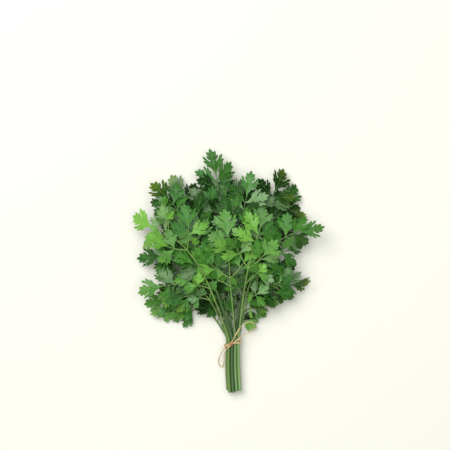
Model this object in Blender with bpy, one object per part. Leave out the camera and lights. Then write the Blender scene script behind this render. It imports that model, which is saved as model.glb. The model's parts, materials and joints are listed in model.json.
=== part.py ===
"""A tied bunch of flat-leaf parsley, lying on its side on a table.

Units are metres. +Y runs along the stems, from their cut ends to the leaf tips, and +Z is up.
The table is z = 0, and the origin is on it under the straight stems, between cut ends and tie.
"""

import math
import random

import bmesh
import bpy
from mathutils import Matrix, Vector
from mathutils.bvhtree import BVHTree

MM = 0.001
SEED = 19

# The tied bundle: rows of stems, one on the other, each shifted half a stem from the next
ROW_COUNT = 4
ROW_STEMS = 4
STEM_PITCH = 3.6 * MM
ROW_PITCH = 3.25 * MM
ROW_SHIFTS = (-0.25, 0.25)
BUNDLE_X = -0.9 * MM
STEM_SIDES = 6
STEM_CUT_RADIUS = 1.7 * MM
STEM_TIE_RADIUS = 1.5 * MM
FIRST_FORK_RADIUS = 0.95 * MM
LAST_FORK_RADIUS = 0.6 * MM
CUT_END_Y = -20 * MM
CUT_STAGGER = 2.2 * MM
CUT_SPREAD = 1.06
CUT_LEAN = 1.4 * MM
STRAIGHT_TO_Y = 4 * MM
TIE_Y = 32.5 * MM
TIE_HEIGHT = 8.6 * MM
HELD_HALF_LENGTH = 6 * MM

# The leafy crown: stems lie in nested layers between a flat underside and a domed top
LAYERS = ROW_COUNT * ROW_STEMS
CROWN_X = -8 * MM
CROWN_Y = 146 * MM
CROWN_HALF_WIDTH = 112 * MM
CROWN_HALF_LENGTH = 104 * MM
RAISE_LENGTH = 40 * MM
UNDERSIDE = 1.4 * MM
UNDERSIDE_RIM_RISE = 4 * MM
DOME_RIM = 33 * MM
DOME_RISE = 24 * MM
DOME_SLOPE = 0.36
DOME_BLEND = 6 * MM
CROWN_LEAST_DEPTH = 16 * MM
WAVE_HEIGHT = 5 * MM
WAVE_LENGTH_X = 62 * MM
WAVE_LENGTH_Y = 54 * MM
WAVE_PHASE = 0.6

# One leafy stem: it leans over from the tie, and forks along its tip from the first fork to the last
LEAN_SHARE = 0.4
FAN_OPEN = 0.75
FAN_PULL = 0.8
FAN_POINTS = 6
TIP_POINTS = 4
FORK_LENGTH = 43 * MM
SIDE_STALK_LENGTH = 21 * MM
SIDE_STALK_TURN = math.radians(52)
SIDE_STALK_CURL = 0.3
SIDE_STALK_POINTS = 3
SIDE_STALK_RADII = (0.8 * MM, 0.8 * MM, 0.6 * MM)
SIDE_STALK_SPREAD = (0.85, 1.15)

# Leaflets: their lengths, their turns from the stalk, and how far a pair sits behind the tip one
BLADE_THICKNESS = 0.7 * MM
BLADE_CLEARANCE = 0.3 * MM
PAIR_SETBACK = 6.5 * MM
TIP_LEAFLET = 30 * MM
PAIR_LEAFLET = 27 * MM
FORK_LEAFLET = 27 * MM
SIDE_TIP_LEAFLET = 28 * MM
SIDE_PAIR_LEAFLET = 24 * MM
PAIR_TURN = (0.75, 1.1)
FOLD = (0.05, 0.35)
ARCH = (0.0, 0.22)
ROLL = (-0.5, 0.5)
PITCH = (-0.45, 0.35)

# The search for a clear place: each try may wander further in heading, pitch and size
PLACE_TRIES = 48
WANDER_TURN = 0.6
WANDER_LIFT = 0.25
WANDER_SHRINK = 0.25
# The bottom row's blades are let down onto the table, unless that fails too often
REST_TRIES = 24
REST_STEPS = 5
TABLE_GAP = 0.02 * MM

# A leaflet's outline as shares of its length: its base, its right half upwards, and its tip
LEAFLET_BASE = (0.0, -0.02)
LEAFLET_HALF = ((0.28, 0.48), (0.25, 0.57), (0.35, 0.77), (0.11, 0.52), (0.18, 0.82))
LEAFLET_TIP = (0.0, 1.0)
LEAFLET_FORK = (0.0, 0.36)

# The raffia tie: two turns round the bundle, a knot on top and a bow of two loops, in mm
RAFFIA_RADIUS = 0.75 * MM
RAFFIA_GAP = 0.5 * MM
TURN_POINTS = 14
TURN_SHIFTS = (0.9 * MM, 0.1 * MM)
TURN_SLANTS = (0.55, 0.2)
KNOT = (-3, 32.2, 17.1)
KNOT_RADII = (2.5, 2.2, 1.5)
KNOT_SIDES = 6
KNOT_RINGS = 4
RIGHT_LOOP = (
    (-2.6, 33.6, 17.6),
    (2.4, 42.6, 20),
    (7.6, 51, 22.2),
    (13.6, 56, 21),
    (19.6, 56.4, 17),
    (23, 52, 13.8),
    (22, 47.6, 12.6),
    (13, 43, 15.4),
    (5.2, 38, 17.9),
    (-1.4, 31.8, 17.1),
)
LEFT_LOOP = (
    (-4.4, 32.8, 17.4),
    (-10.2, 27.4, 16.2),
    (-14.4, 20.6, 10.4),
    (-16.8, 12.6, 4.4),
    (-15.6, 7.2, 2.0),
    (-12.4, 6.8, 2.4),
    (-10.6, 11.4, 5.2),
    (-10.4, 19, 10.8),
    (-8.4, 25.6, 16.2),
    (-3.2, 30.9, 17.1),
)

# Each stem, left to right in its row, from the bottom row up:
# first fork x and y (mm), heading of the leafy tip from +Y to +X (degrees), and size
STEM_ROWS = (
    ((-36, 74, -98, 0.9), (-38, 156, -30, 1.0), (14, 94, 76, 0.86), (31, 150, 42, 1.0)),
    ((-40, 115, -89, 0.96), (-14, 177, -8, 1.0), (28, 161, 28, 1.0), (26, 93, 108, 0.86)),
    ((-36, 91, -104, 0.98), (-46, 157, -42, 1.0), (7, 153, 12, 1.0), (34, 133, 74, 1.02)),
    ((-51, 137, -70, 1.05), (-27, 114, -22, 1.0), (-4, 106, -2, 1.05), (16, 117, 20, 1.05)),
)
# The layers that the stems of each row take, so that no stalk crosses another in one layer
LAYER_ORDERS = ((0, 2, 1, 3), (0, 2, 1, 3), (3, 0, 1, 2), (3, 0, 1, 2))
# The rows whose blades show most get their places first; the others are bent clear of them
BLADE_ORDER = (3, 0, 2, 1)

LEAF_GREEN = (0.09, 0.30, 0.05, 1)
LEAF_ROUGHNESS = 0.45
RAFFIA_TAN = (0.72, 0.46, 0.22, 1)
RAFFIA_ROUGHNESS = 0.7


def clear_scene():
    for obj in list(bpy.data.objects):
        bpy.data.objects.remove(obj, do_unlink=True)


def new_collection(name):
    collection = bpy.data.collections.new(name)
    bpy.context.scene.collection.children.link(collection)
    return collection


def make_material(name, colour, roughness):
    material = bpy.data.materials.new(name)
    material.use_nodes = True
    shader = material.node_tree.nodes["Principled BSDF"]
    shader.inputs["Base Color"].default_value = colour
    shader.inputs["Roughness"].default_value = roughness
    shader.inputs["Metallic"].default_value = 0.0
    return material


def smooth_step(value):
    value = min(max(value, 0.0), 1.0)
    return value * value * (3 - 2 * value)


def row_offset(row):
    return ROW_PITCH * (row - (ROW_COUNT - 1) / 2)


def slot_x(row, place):
    return BUNDLE_X + STEM_PITCH * (place - (ROW_STEMS - 1) / 2 + ROW_SHIFTS[row % 2])


def layer_height(layer, x, y):
    """Height of one nested layer: at the tie the bundle's row, and in the crown a waved sheet."""
    from_tie = max(math.hypot(x, y - TIE_Y) - HELD_HALF_LENGTH, 0)
    across = (x - CROWN_X) / CROWN_HALF_WIDTH
    along = (y - CROWN_Y) / CROWN_HALF_LENGTH
    rim = across * across + along * along
    slope_top = TIE_HEIGHT + row_offset(ROW_COUNT - 1) + DOME_SLOPE * from_tie
    dome_top = DOME_RIM + DOME_RISE * (1 - rim)
    top = 0.5 * (slope_top + dome_top - math.hypot(slope_top - dome_top, DOME_BLEND))
    bottom = UNDERSIDE + UNDERSIDE_RIM_RISE * min(rim, 1.6)
    depth = max(top - bottom, CROWN_LEAST_DEPTH)
    wave = WAVE_HEIGHT * math.sin(math.tau * x / WAVE_LENGTH_X + WAVE_PHASE)
    wave *= math.cos(math.tau * y / WAVE_LENGTH_Y)
    crown = bottom + layer / (LAYERS - 1) * (depth + wave)
    bundle = TIE_HEIGHT + row_offset(layer // ROW_STEMS)
    return bundle + smooth_step(from_tie / RAISE_LENGTH) * (crown - bundle)


def on_layer(layer, x, y):
    return Vector((x, y, layer_height(layer, x, y)))


def layer_normal(layer, x, y):
    step = 1 * MM
    slope_x = (layer_height(layer, x + step, y) - layer_height(layer, x - step, y)) / (2 * step)
    slope_y = (layer_height(layer, x, y + step) - layer_height(layer, x, y - step)) / (2 * step)
    return Vector((-slope_x, -slope_y, 1)).normalized()


def heading_vector(angle):
    """A flat direction, turned from +Y towards +X."""
    return Vector((math.sin(angle), math.cos(angle), 0))


def curve_between(start, start_pull, end, end_pull, count):
    """Points on the smooth curve that leaves start and reaches end along the two pulls."""
    points = []
    for step in range(count):
        s = step / (count - 1)
        points.append(
            (2 * s**3 - 3 * s**2 + 1) * start
            + (s**3 - 2 * s**2 + s) * start_pull
            + (3 * s**2 - 2 * s**3) * end
            + (s**3 - s**2) * end_pull
        )
    return points


class LeafyStem:
    """The places of one stem's axis, forks, side stalks and leaflets, before anything is made."""

    def __init__(self, row, place):
        fork_x, fork_y, heading, self.size = STEM_ROWS[row][place]
        number = row * ROW_STEMS + place
        self.name = f"leafy_stem_{number + 1:02d}"
        self.row = row
        self.layer = row * ROW_STEMS + LAYER_ORDERS[row][place]
        self.random = random.Random(SEED + number)
        self.heading = math.radians(heading)
        self.tie = Vector((slot_x(row, place), TIE_Y + HELD_HALF_LENGTH, 0))
        self.fork = Vector((fork_x * MM, fork_y * MM, 0))
        chord = self.fork - self.tie
        self.chord_heading = math.atan2(chord.x, chord.y)
        self.lean = self.chord_heading + LEAN_SHARE * (self.heading - self.chord_heading)
        self.axis = []
        self.radii = []
        self.side_stalks = []
        self.leaflets = []
        self.plan_straight_part()
        self.plan_fan()
        self.plan_tip()
        self.plan_side_stalks()

    def plan_straight_part(self):
        """From the cut end, bent a little aside and flat on the table in the bottom row, to the tie."""
        low_x = BUNDLE_X + (self.tie.x - BUNDLE_X) * CUT_SPREAD
        cut_y = CUT_END_Y + self.random.uniform(-1, 1) * CUT_STAGGER
        flat_height = STEM_CUT_RADIUS * math.cos(math.pi / STEM_SIDES)
        height = flat_height + (row_offset(self.row) - row_offset(0)) * CUT_SPREAD
        held_height = TIE_HEIGHT + row_offset(self.row)
        self.axis += [
            Vector((low_x + CUT_LEAN, cut_y, height)),
            Vector((low_x, STRAIGHT_TO_Y, height)),
            Vector((self.tie.x, TIE_Y - HELD_HALF_LENGTH, held_height)),
        ]
        self.radii += [STEM_CUT_RADIUS, STEM_CUT_RADIUS, STEM_TIE_RADIUS]

    def add_axis(self, points, first_radius, last_radius, skip=0):
        """Lay a run of the axis on the stem's layer, tapering from one radius to the other."""
        for step in range(skip, len(points)):
            share = step / (len(points) - 1)
            self.axis.append(on_layer(self.layer, points[step].x, points[step].y))
            self.radii.append(first_radius + share * (last_radius - first_radius))

    def plan_fan(self):
        """From the tie, splayed out at once, then on in a gentle bend to the first fork."""
        chord = (self.fork - self.tie).length
        start_pull = heading_vector(self.chord_heading * FAN_OPEN) * chord
        end_pull = heading_vector(self.lean) * chord * FAN_PULL
        fan = curve_between(self.tie, start_pull, self.fork, end_pull, FAN_POINTS)
        self.add_axis(fan, STEM_TIE_RADIUS, FIRST_FORK_RADIUS)

    def plan_tip(self):
        """From the first fork to the last, turned to the stem's own heading, with its leaflets."""
        length = FORK_LENGTH * self.size
        end = self.fork + heading_vector((self.lean + self.heading) / 2) * length
        start_pull = heading_vector(self.lean) * length
        end_pull = heading_vector(self.heading) * length
        tip = curve_between(self.fork, start_pull, end, end_pull, TIP_POINTS)
        self.add_axis(tip, FIRST_FORK_RADIUS, LAST_FORK_RADIUS, 1)
        back = tip[-1] + (tip[-2] - tip[-1]).normalized() * PAIR_SETBACK
        fork_heading = self.lean + (self.heading - self.lean) * 2 / 3
        self.leaflets.append(("axis", tip[-1], self.heading, TIP_LEAFLET))
        for side in (-1, 1):
            turned = self.heading + side * self.random.uniform(*PAIR_TURN)
            self.leaflets.append(("axis", back, turned, PAIR_LEAFLET))
        for side in (-1, 1):
            turned = fork_heading + side * self.random.uniform(*PAIR_TURN)
            self.leaflets.append(("axis", tip[-2], turned, FORK_LEAFLET))

    def plan_side_stalks(self):
        """A stalk on each side of the first fork, with a leaflet at its tip and a pair behind."""
        for side in (-1, 1):
            start = self.lean + side * SIDE_STALK_TURN * self.random.uniform(*SIDE_STALK_SPREAD)
            finish = start - side * SIDE_STALK_CURL
            length = SIDE_STALK_LENGTH * self.size * self.random.uniform(*SIDE_STALK_SPREAD)
            end = self.fork + heading_vector((start + finish) / 2) * length
            start_pull = heading_vector(start) * length
            end_pull = heading_vector(finish) * length
            stalk = curve_between(self.fork, start_pull, end, end_pull, SIDE_STALK_POINTS)
            root = f"side_{len(self.side_stalks)}"
            self.side_stalks.append([on_layer(self.layer, p.x, p.y) for p in stalk])
            self.leaflets.append((root, end, finish, SIDE_TIP_LEAFLET))
            back = end - heading_vector(finish) * PAIR_SETBACK
            for edge in (-1, 1):
                turned = finish + edge * self.random.uniform(*PAIR_TURN)
                self.leaflets.append((root, back, turned, SIDE_PAIR_LEAFLET))


def tube(name, points, radii, collection, twist="Z_UP", closed=False):
    """A tapering tube along the points, as a closed mesh with a flat side down."""
    curve = bpy.data.curves.new(name, "CURVE")
    curve.dimensions = "3D"
    curve.twist_mode = twist
    curve.bevel_depth = 1 * MM
    curve.bevel_resolution = STEM_SIDES // 2 - 2
    curve.use_fill_caps = not closed
    spline = curve.splines.new("POLY")
    spline.points.add(len(points) - 1)
    spline.use_cyclic_u = closed
    for control, point, radius in zip(spline.points, points, radii):
        control.co = (*point, 1)
        control.radius = radius / curve.bevel_depth
    guide = bpy.data.objects.new(name + "_guide", curve)
    collection.objects.link(guide)
    graph = bpy.context.evaluated_depsgraph_get()
    mesh = bpy.data.meshes.new_from_object(guide.evaluated_get(graph))
    bpy.data.objects.remove(guide, do_unlink=True)
    shape = bmesh.new()
    shape.from_mesh(mesh)
    bmesh.ops.remove_doubles(shape, verts=shape.verts, dist=0.01 * MM)
    bmesh.ops.recalc_face_normals(shape, faces=shape.faces)
    shape.to_mesh(mesh)
    shape.free()
    obj = bpy.data.objects.new(name, mesh)
    collection.objects.link(obj)
    return obj


def leaflet_mesh(base, along, normal, length, fold, arch, thickness):
    """A cut, folded and arched blade: its outline joined to its fork of veins, given thickness."""
    shape = bmesh.new()
    left = [(-u, v) for u, v in reversed(LEAFLET_HALF)]
    rim = (LEAFLET_BASE, *LEAFLET_HALF, LEAFLET_TIP, *left)
    outline = [shape.verts.new((u, v, 0)) for u, v in rim]
    blade = shape.faces.new(outline)
    fork = bmesh.ops.poke(shape, faces=[blade])["verts"][0]
    fork.co = (*LEAFLET_FORK, 0)
    for vert in shape.verts:
        vert.co.z = fold * abs(vert.co.x) - arch * vert.co.y**2
        vert.co *= length
    under = shape.verts[:]
    copy = bmesh.ops.duplicate(shape, geom=shape.verts[:] + shape.edges[:] + shape.faces[:])
    upper = [item for item in copy["geom"] if isinstance(item, bmesh.types.BMVert)]
    bmesh.ops.translate(shape, vec=(0, 0, thickness / 2), verts=upper)
    bmesh.ops.translate(shape, vec=(0, 0, -thickness / 2), verts=under)
    above = copy["vert_map"]
    for here, there in zip(outline, outline[1:] + outline[:1]):
        shape.faces.new((here, there, above[there], above[here]))
    bmesh.ops.recalc_face_normals(shape, faces=shape.faces)
    across = along.cross(normal).normalized()
    turn = Matrix((across, along, normal)).transposed().to_4x4()
    shape.transform(Matrix.Translation(base) @ turn)
    mesh = bpy.data.meshes.new("leaflet")
    shape.to_mesh(mesh)
    shape.free()
    return mesh


def lowest(mesh):
    return min(vert.co.z for vert in mesh.vertices)


class Placed:
    """What is already in place, so that a new blade can be bent clear of it."""

    def __init__(self):
        self.shapes = []

    @staticmethod
    def measure(mesh):
        mesh.calc_loop_triangles()
        points = [vert.co.copy() for vert in mesh.vertices]
        centre = sum(points, Vector()) / len(points)
        reach = max((point - centre).length for point in points)
        tree = BVHTree.FromPolygons(points, [t.vertices[:] for t in mesh.loop_triangles])
        return centre, reach, tree

    def add(self, owner, root, mesh):
        """Root names the stalk itself, or is the point that a blade grows from."""
        self.shapes.append((owner, root, *self.measure(mesh)))

    def touched_by(self, owner, root, base, mesh):
        """Whether the blade meets anything but its own stalk and the blade beside it."""
        centre, reach, tree = self.measure(mesh)
        for other, other_root, middle, far, shape in self.shapes:
            if other == owner and (other_root == root or other_root == base):
                continue
            if (middle - centre).length < far + reach and tree.overlap(shape):
                return True
        return False


def tilted(layer, base, heading, roll, pitch):
    """A leaflet's direction and normal: laid on its layer, then rolled and pitched."""
    normal = layer_normal(layer, base.x, base.y)
    along = heading_vector(heading)
    along = (along - normal * along.dot(normal)).normalized()
    normal = Matrix.Rotation(roll, 3, along) @ normal
    turn = Matrix.Rotation(pitch, 3, along.cross(normal))
    return turn @ along, turn @ normal


def place_leaflet(stem, placed, root, base, heading, length):
    """The first seeded tilt with room round the blade, clear of what is in place and of the table."""
    base = on_layer(stem.layer, base.x, base.y)
    pick = stem.random.uniform
    fold = pick(*FOLD)
    arch = pick(*ARCH)
    for attempt in range(PLACE_TRIES):
        wander = attempt / PLACE_TRIES
        turned = heading + wander * pick(-WANDER_TURN, WANDER_TURN)
        roll = pick(*ROLL)
        pitch = pick(PITCH[0], PITCH[1] + WANDER_LIFT * wander)
        size = length * stem.size * (1 - wander * WANDER_SHRINK)
        form = (size, fold * pick(1 - wander, 1), arch * pick(1 - wander, 1))
        pose = (base, *tilted(stem.layer, base, turned, roll, pitch), *form)
        if stem.row == 0 and attempt < REST_TRIES:
            for _ in range(REST_STEPS):
                pitch -= (lowest(leaflet_mesh(*pose, BLADE_THICKNESS)) - TABLE_GAP) / size
                pose = (base, *tilted(stem.layer, base, turned, roll, pitch), *form)
        mesh = leaflet_mesh(*pose, BLADE_THICKNESS)
        wide = (*pose[:3], size + 2 * BLADE_CLEARANCE, *form[1:])
        room = leaflet_mesh(*wide, BLADE_THICKNESS + 2 * BLADE_CLEARANCE)
        if lowest(mesh) > 0 and not placed.touched_by(stem.name, root, base, room):
            placed.add(stem.name, base, mesh)
            return mesh
    return None


def join_all(body, pieces, name, material, collection):
    """One Boolean union of a body with a collection of pieces, applied; the pieces are removed."""
    union = body.modifiers.new("union", "BOOLEAN")
    union.operation = "UNION"
    union.operand_type = "COLLECTION"
    union.collection = pieces
    union.solver = "EXACT"
    graph = bpy.context.evaluated_depsgraph_get()
    mesh = bpy.data.meshes.new_from_object(body.evaluated_get(graph))
    for obj in [body, *pieces.objects]:
        bpy.data.objects.remove(obj, do_unlink=True)
    bpy.data.collections.remove(pieces)
    mesh.name = name
    mesh.materials.clear()
    mesh.materials.append(material)
    obj = bpy.data.objects.new(name, mesh)
    collection.objects.link(obj)
    return obj


def band_points(y_shift, slant):
    """One turn of raffia drawn tight round the bundle: its hull, set out by radius and gap."""
    centres = []
    for row in range(ROW_COUNT):
        for place in (0, ROW_STEMS - 1):
            centres.append((slot_x(row, place), TIE_HEIGHT + row_offset(row)))
    set_out = STEM_TIE_RADIUS + RAFFIA_GAP + RAFFIA_RADIUS
    points = []
    for step in range(TURN_POINTS):
        angle = math.tau * step / TURN_POINTS
        out_x = math.cos(angle)
        out_z = math.sin(angle)
        x, z = max(centres, key=lambda centre: centre[0] * out_x + centre[1] * out_z)
        x += out_x * set_out
        z += out_z * set_out
        points.append(Vector((x, TIE_Y + y_shift + slant * (x - BUNDLE_X), z)))
    return points


def make_knot(collection):
    shape = bmesh.new()
    radii = Vector(KNOT_RADII) * MM
    place = Matrix.Translation(Vector(KNOT) * MM) @ Matrix.Diagonal((*radii, 1))
    bmesh.ops.create_uvsphere(shape, u_segments=KNOT_SIDES, v_segments=KNOT_RINGS, radius=1, matrix=place)
    mesh = bpy.data.meshes.new("raffia_knot")
    shape.to_mesh(mesh)
    shape.free()
    collection.objects.link(bpy.data.objects.new("raffia_knot", mesh))


def make_tie(material, collection):
    """Two turns, the knot and both loops of the bow, joined into one piece."""
    pieces = new_collection("raffia_pieces")
    first = band_points(TURN_SHIFTS[0], TURN_SLANTS[0])
    second = band_points(TURN_SHIFTS[1], TURN_SLANTS[1])
    radii = [RAFFIA_RADIUS] * TURN_POINTS
    body = tube("raffia_first_turn", first, radii, collection, "MINIMUM", True)
    tube("raffia_second_turn", second, radii, pieces, "MINIMUM", True)
    for name, loop in (("right_loop", RIGHT_LOOP), ("left_loop", LEFT_LOOP)):
        points = [Vector(point) * MM for point in loop]
        tube("raffia_" + name, points, [RAFFIA_RADIUS] * len(points), pieces, "MINIMUM")
    make_knot(pieces)
    return join_all(body, pieces, "raffia_tie", material, collection)


def make_stalks(stem, placed, collection):
    """The axis of a stem, and in a collection of their own its side stalks, all noted as placed."""
    axis = tube(stem.name + "_axis", stem.axis, stem.radii, collection)
    placed.add(stem.name, "axis", axis.data)
    pieces = new_collection(stem.name + "_pieces")
    for number, stalk in enumerate(stem.side_stalks):
        side = tube(f"{stem.name}_side_{number}", stalk, SIDE_STALK_RADII, pieces)
        placed.add(stem.name, f"side_{number}", side.data)
    return axis, pieces


def make_leaflets(stem, placed, pieces):
    """A leaflet that finds no clear place is left off, as on a stem that was crowded as it grew."""
    for number, leaflet in enumerate(stem.leaflets):
        mesh = place_leaflet(stem, placed, *leaflet)
        if mesh:
            pieces.objects.link(bpy.data.objects.new(f"{stem.name}_leaflet_{number}", mesh))


def main():
    clear_scene()
    bunch = new_collection("parsley_bunch")
    leaf = make_material("parsley", LEAF_GREEN, LEAF_ROUGHNESS)
    raffia = make_material("raffia", RAFFIA_TAN, RAFFIA_ROUGHNESS)
    stems = [LeafyStem(row, place) for row in range(ROW_COUNT) for place in range(ROW_STEMS)]
    placed = Placed()
    tie = make_tie(raffia, bunch)
    placed.add(tie.name, "tie", tie.data)
    made = {stem.name: make_stalks(stem, placed, bunch) for stem in stems}
    for stem in sorted(stems, key=lambda stem: BLADE_ORDER.index(stem.row)):
        make_leaflets(stem, placed, made[stem.name][1])
    for stem in stems:
        join_all(*made[stem.name], stem.name, leaf, bunch)


main()
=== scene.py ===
"""A tied bunch of flat-leaf parsley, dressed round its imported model.

Units are metres. +Y runs along the stems, from their cut ends to the leaf tips, and +Z is up.
"""

import json
import math
import random

import bmesh
import bpy
from mathutils import Matrix, Vector
from mathutils.bvhtree import BVHTree
from mathutils.geometry import delaunay_2d_cdt

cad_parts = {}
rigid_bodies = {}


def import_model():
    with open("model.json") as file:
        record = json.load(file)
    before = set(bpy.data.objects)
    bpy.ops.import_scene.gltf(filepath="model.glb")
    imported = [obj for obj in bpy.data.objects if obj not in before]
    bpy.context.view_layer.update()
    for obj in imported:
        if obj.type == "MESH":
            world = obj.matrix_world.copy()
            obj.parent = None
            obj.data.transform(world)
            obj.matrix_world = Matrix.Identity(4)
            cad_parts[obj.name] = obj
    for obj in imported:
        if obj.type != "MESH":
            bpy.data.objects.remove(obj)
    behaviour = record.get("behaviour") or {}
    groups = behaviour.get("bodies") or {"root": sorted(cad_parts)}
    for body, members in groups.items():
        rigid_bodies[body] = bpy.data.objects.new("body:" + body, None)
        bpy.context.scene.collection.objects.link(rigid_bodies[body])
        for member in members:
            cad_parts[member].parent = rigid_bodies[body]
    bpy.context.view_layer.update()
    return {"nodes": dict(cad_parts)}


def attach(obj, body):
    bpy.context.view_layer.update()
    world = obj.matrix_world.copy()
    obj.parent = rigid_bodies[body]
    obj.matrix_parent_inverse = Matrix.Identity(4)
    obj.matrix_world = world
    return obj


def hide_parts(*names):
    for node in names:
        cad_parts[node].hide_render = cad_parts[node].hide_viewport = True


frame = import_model()

MM = 0.001


# The table top and the light
# A pale cream surface under the whole bunch, lit by two big soft lamps and an even room light,
# as for a product picture taken from straight above.
FLOOR_SIZE = 8.0
FLOOR_DROP = 0.2 * MM
FLOOR_CREAM = (0.935, 0.93, 0.835, 1)
FLOOR_ROUGHNESS = 0.9
ROOM_LIGHT = (1.0, 1.0, 1.0, 1)
ROOM_STRENGTH = 0.26
# Where each lamp hangs, how wide it is, and its power in watts
SOFT_LAMPS = (
    ("window_lamp", (-0.8, 1.1, 2.2), 1.7, 39.0),
    ("overhead_lamp", (0.15, 0.2, 2.8), 2.4, 34.0),
)
LAMP_TARGET = Vector((0, 0.15, 0))

bpy.context.scene.view_settings.view_transform = "Standard"


def add_node(tree, kind, inputs=None, **settings):
    """A node with its settings made, and each input linked to a socket or given a value."""
    node = tree.nodes.new(kind)
    for setting, value in settings.items():
        setattr(node, setting, value)
    for key, value in (inputs or {}).items():
        if isinstance(value, bpy.types.NodeSocket):
            tree.links.new(value, node.inputs[key])
        else:
            node.inputs[key].default_value = value
    return node


def new_material(name, roughness):
    """A material with its Principled shader, whose colour and bump its section fills in."""
    material = bpy.data.materials.new(name)
    material.use_nodes = True
    tree = material.node_tree
    shader = tree.nodes["Principled BSDF"]
    shader.inputs["Roughness"].default_value = roughness
    return material, tree, shader


def mesh_of(shape, name):
    """The bmesh as a named mesh; the bmesh itself is freed."""
    mesh = bpy.data.meshes.new(name)
    shape.to_mesh(mesh)
    shape.free()
    return mesh


def in_scene(name, data):
    """A new object with this data, linked into the scene."""
    obj = bpy.data.objects.new(name, data)
    bpy.context.collection.objects.link(obj)
    return obj


def make_floor():
    shape = bmesh.new()
    bmesh.ops.create_grid(shape, x_segments=1, y_segments=1, size=FLOOR_SIZE / 2)
    bmesh.ops.translate(shape, verts=shape.verts, vec=(0, 0, -FLOOR_DROP))
    material, _, shader = new_material("cream_paper", FLOOR_ROUGHNESS)
    shader.inputs["Base Color"].default_value = FLOOR_CREAM
    floor = in_scene("table_top", mesh_of(shape, "table_top"))
    floor.data.materials.append(material)


def make_lights():
    world = bpy.data.worlds.new("soft_room")
    world.use_nodes = True
    bpy.context.scene.world = world
    background = world.node_tree.nodes["Background"]
    background.inputs["Color"].default_value = ROOM_LIGHT
    background.inputs["Strength"].default_value = ROOM_STRENGTH
    for name, place, width, power in SOFT_LAMPS:
        light = bpy.data.lights.new(name, "AREA")
        light.shape = "DISK"
        light.size = width
        light.energy = power
        lamp = in_scene(name, light)
        lamp.location = place
        lamp.rotation_euler = (LAMP_TARGET - Vector(place)).to_track_quat("-Z", "Y").to_euler()


make_floor()
make_lights()


# The camera
# It hangs straight above the bunch and looks down on it, with the cut ends at the foot of the
# picture, through a long lens that hardly widens what stands higher.
PICTURE_WIDTH = 504 * MM
PICTURE_CENTRE = Vector((-9.5 * MM, 164.6 * MM))
LENS = 150
SENSOR_WIDTH = 36
FARTHEST_SEEN = 20

camera_data = bpy.data.cameras.new("overhead_camera")
camera_data.lens = LENS
camera_data.sensor_width = SENSOR_WIDTH
camera_data.clip_end = FARTHEST_SEEN
camera = in_scene("overhead_camera", camera_data)
camera.location = (*PICTURE_CENTRE, PICTURE_WIDTH * LENS / SENSOR_WIDTH)
bpy.context.scene.camera = camera


# How the bunch lies
# Sixteen leafy stems, cut together and held in four rows of four at the tie. Past it they fan
# out on nested layers, from the flat underside on the table to the domed top of the crown.
SEED = 19
ROW_COUNT = 4
ROW_STEMS = 4
STEM_PITCH = 3.6 * MM
ROW_PITCH = 3.25 * MM
ROW_SHIFTS = (-0.25, 0.25)
BUNDLE_X = -0.9 * MM
STEM_SIDES = 6
STEM_CUT_RADIUS = 1.7 * MM
STEM_TIE_RADIUS = 1.5 * MM
FIRST_FORK_RADIUS = 0.95 * MM
LAST_FORK_RADIUS = 0.6 * MM
CUT_END_Y = -20 * MM
CUT_STAGGER = 2.2 * MM
CUT_SPREAD = 1.06
CUT_LEAN = 1.4 * MM
STRAIGHT_TO_Y = 4 * MM
TIE_Y = 32.5 * MM
TIE_HEIGHT = 8.6 * MM
HELD_HALF_LENGTH = 6 * MM

LAYERS = ROW_COUNT * ROW_STEMS
CROWN_X = -8 * MM
CROWN_Y = 146 * MM
CROWN_HALF_WIDTH = 112 * MM
CROWN_HALF_LENGTH = 104 * MM
RAISE_LENGTH = 40 * MM
UNDERSIDE = 1.4 * MM
UNDERSIDE_RIM_RISE = 4 * MM
RIM_LIMIT = 1.6
DOME_RIM = 33 * MM
DOME_RISE = 24 * MM
DOME_SLOPE = 0.36
DOME_BLEND = 6 * MM
CROWN_LEAST_DEPTH = 16 * MM
WAVE_HEIGHT = 5 * MM
WAVE_LENGTH_X = 62 * MM
WAVE_LENGTH_Y = 54 * MM
WAVE_PHASE = 0.6

LEAN_SHARE = 0.4
FAN_OPEN = 0.75
FAN_PULL = 0.8
FAN_POINTS = 6
TIP_POINTS = 4
FORK_LENGTH = 43 * MM
SIDE_STALK_LENGTH = 21 * MM
SIDE_STALK_TURN = math.radians(52)
SIDE_STALK_CURL = 0.3
SIDE_STALK_POINTS = 3
SIDE_STALK_RADII = (0.8 * MM, 0.8 * MM, 0.6 * MM)
SIDE_STALK_SPREAD = (0.85, 1.15)

PAIR_SETBACK = 6.5 * MM
TIP_LEAFLET = 30 * MM
PAIR_LEAFLET = 27 * MM
FORK_LEAFLET = 27 * MM
SIDE_TIP_LEAFLET = 28 * MM
SIDE_PAIR_LEAFLET = 24 * MM
PAIR_TURN = (0.75, 1.1)

# Each stem, left to right in its row, from the bottom row up:
# first fork x and y (mm), heading of the leafy tip from +Y to +X (degrees), and size
STEM_ROWS = (
    ((-36, 74, -98, 0.9), (-38, 156, -30, 1.0), (14, 94, 76, 0.86), (31, 150, 42, 1.0)),
    ((-40, 115, -89, 0.96), (-14, 177, -8, 1.0), (28, 161, 28, 1.0), (26, 93, 108, 0.86)),
    ((-36, 91, -104, 0.98), (-46, 157, -42, 1.0), (7, 153, 12, 1.0), (34, 133, 74, 1.02)),
    ((-51, 137, -70, 1.05), (-27, 114, -22, 1.0), (-4, 106, -2, 1.05), (16, 117, 20, 1.05)),
)
LAYER_ORDERS = ((0, 2, 1, 3), (0, 2, 1, 3), (3, 0, 1, 2), (3, 0, 1, 2))
BLADE_ORDER = (3, 0, 2, 1)


def smooth_step(value):
    value = min(max(value, 0.0), 1.0)
    return value * value * (3 - 2 * value)


def row_offset(row):
    return ROW_PITCH * (row - (ROW_COUNT - 1) / 2)


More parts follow.
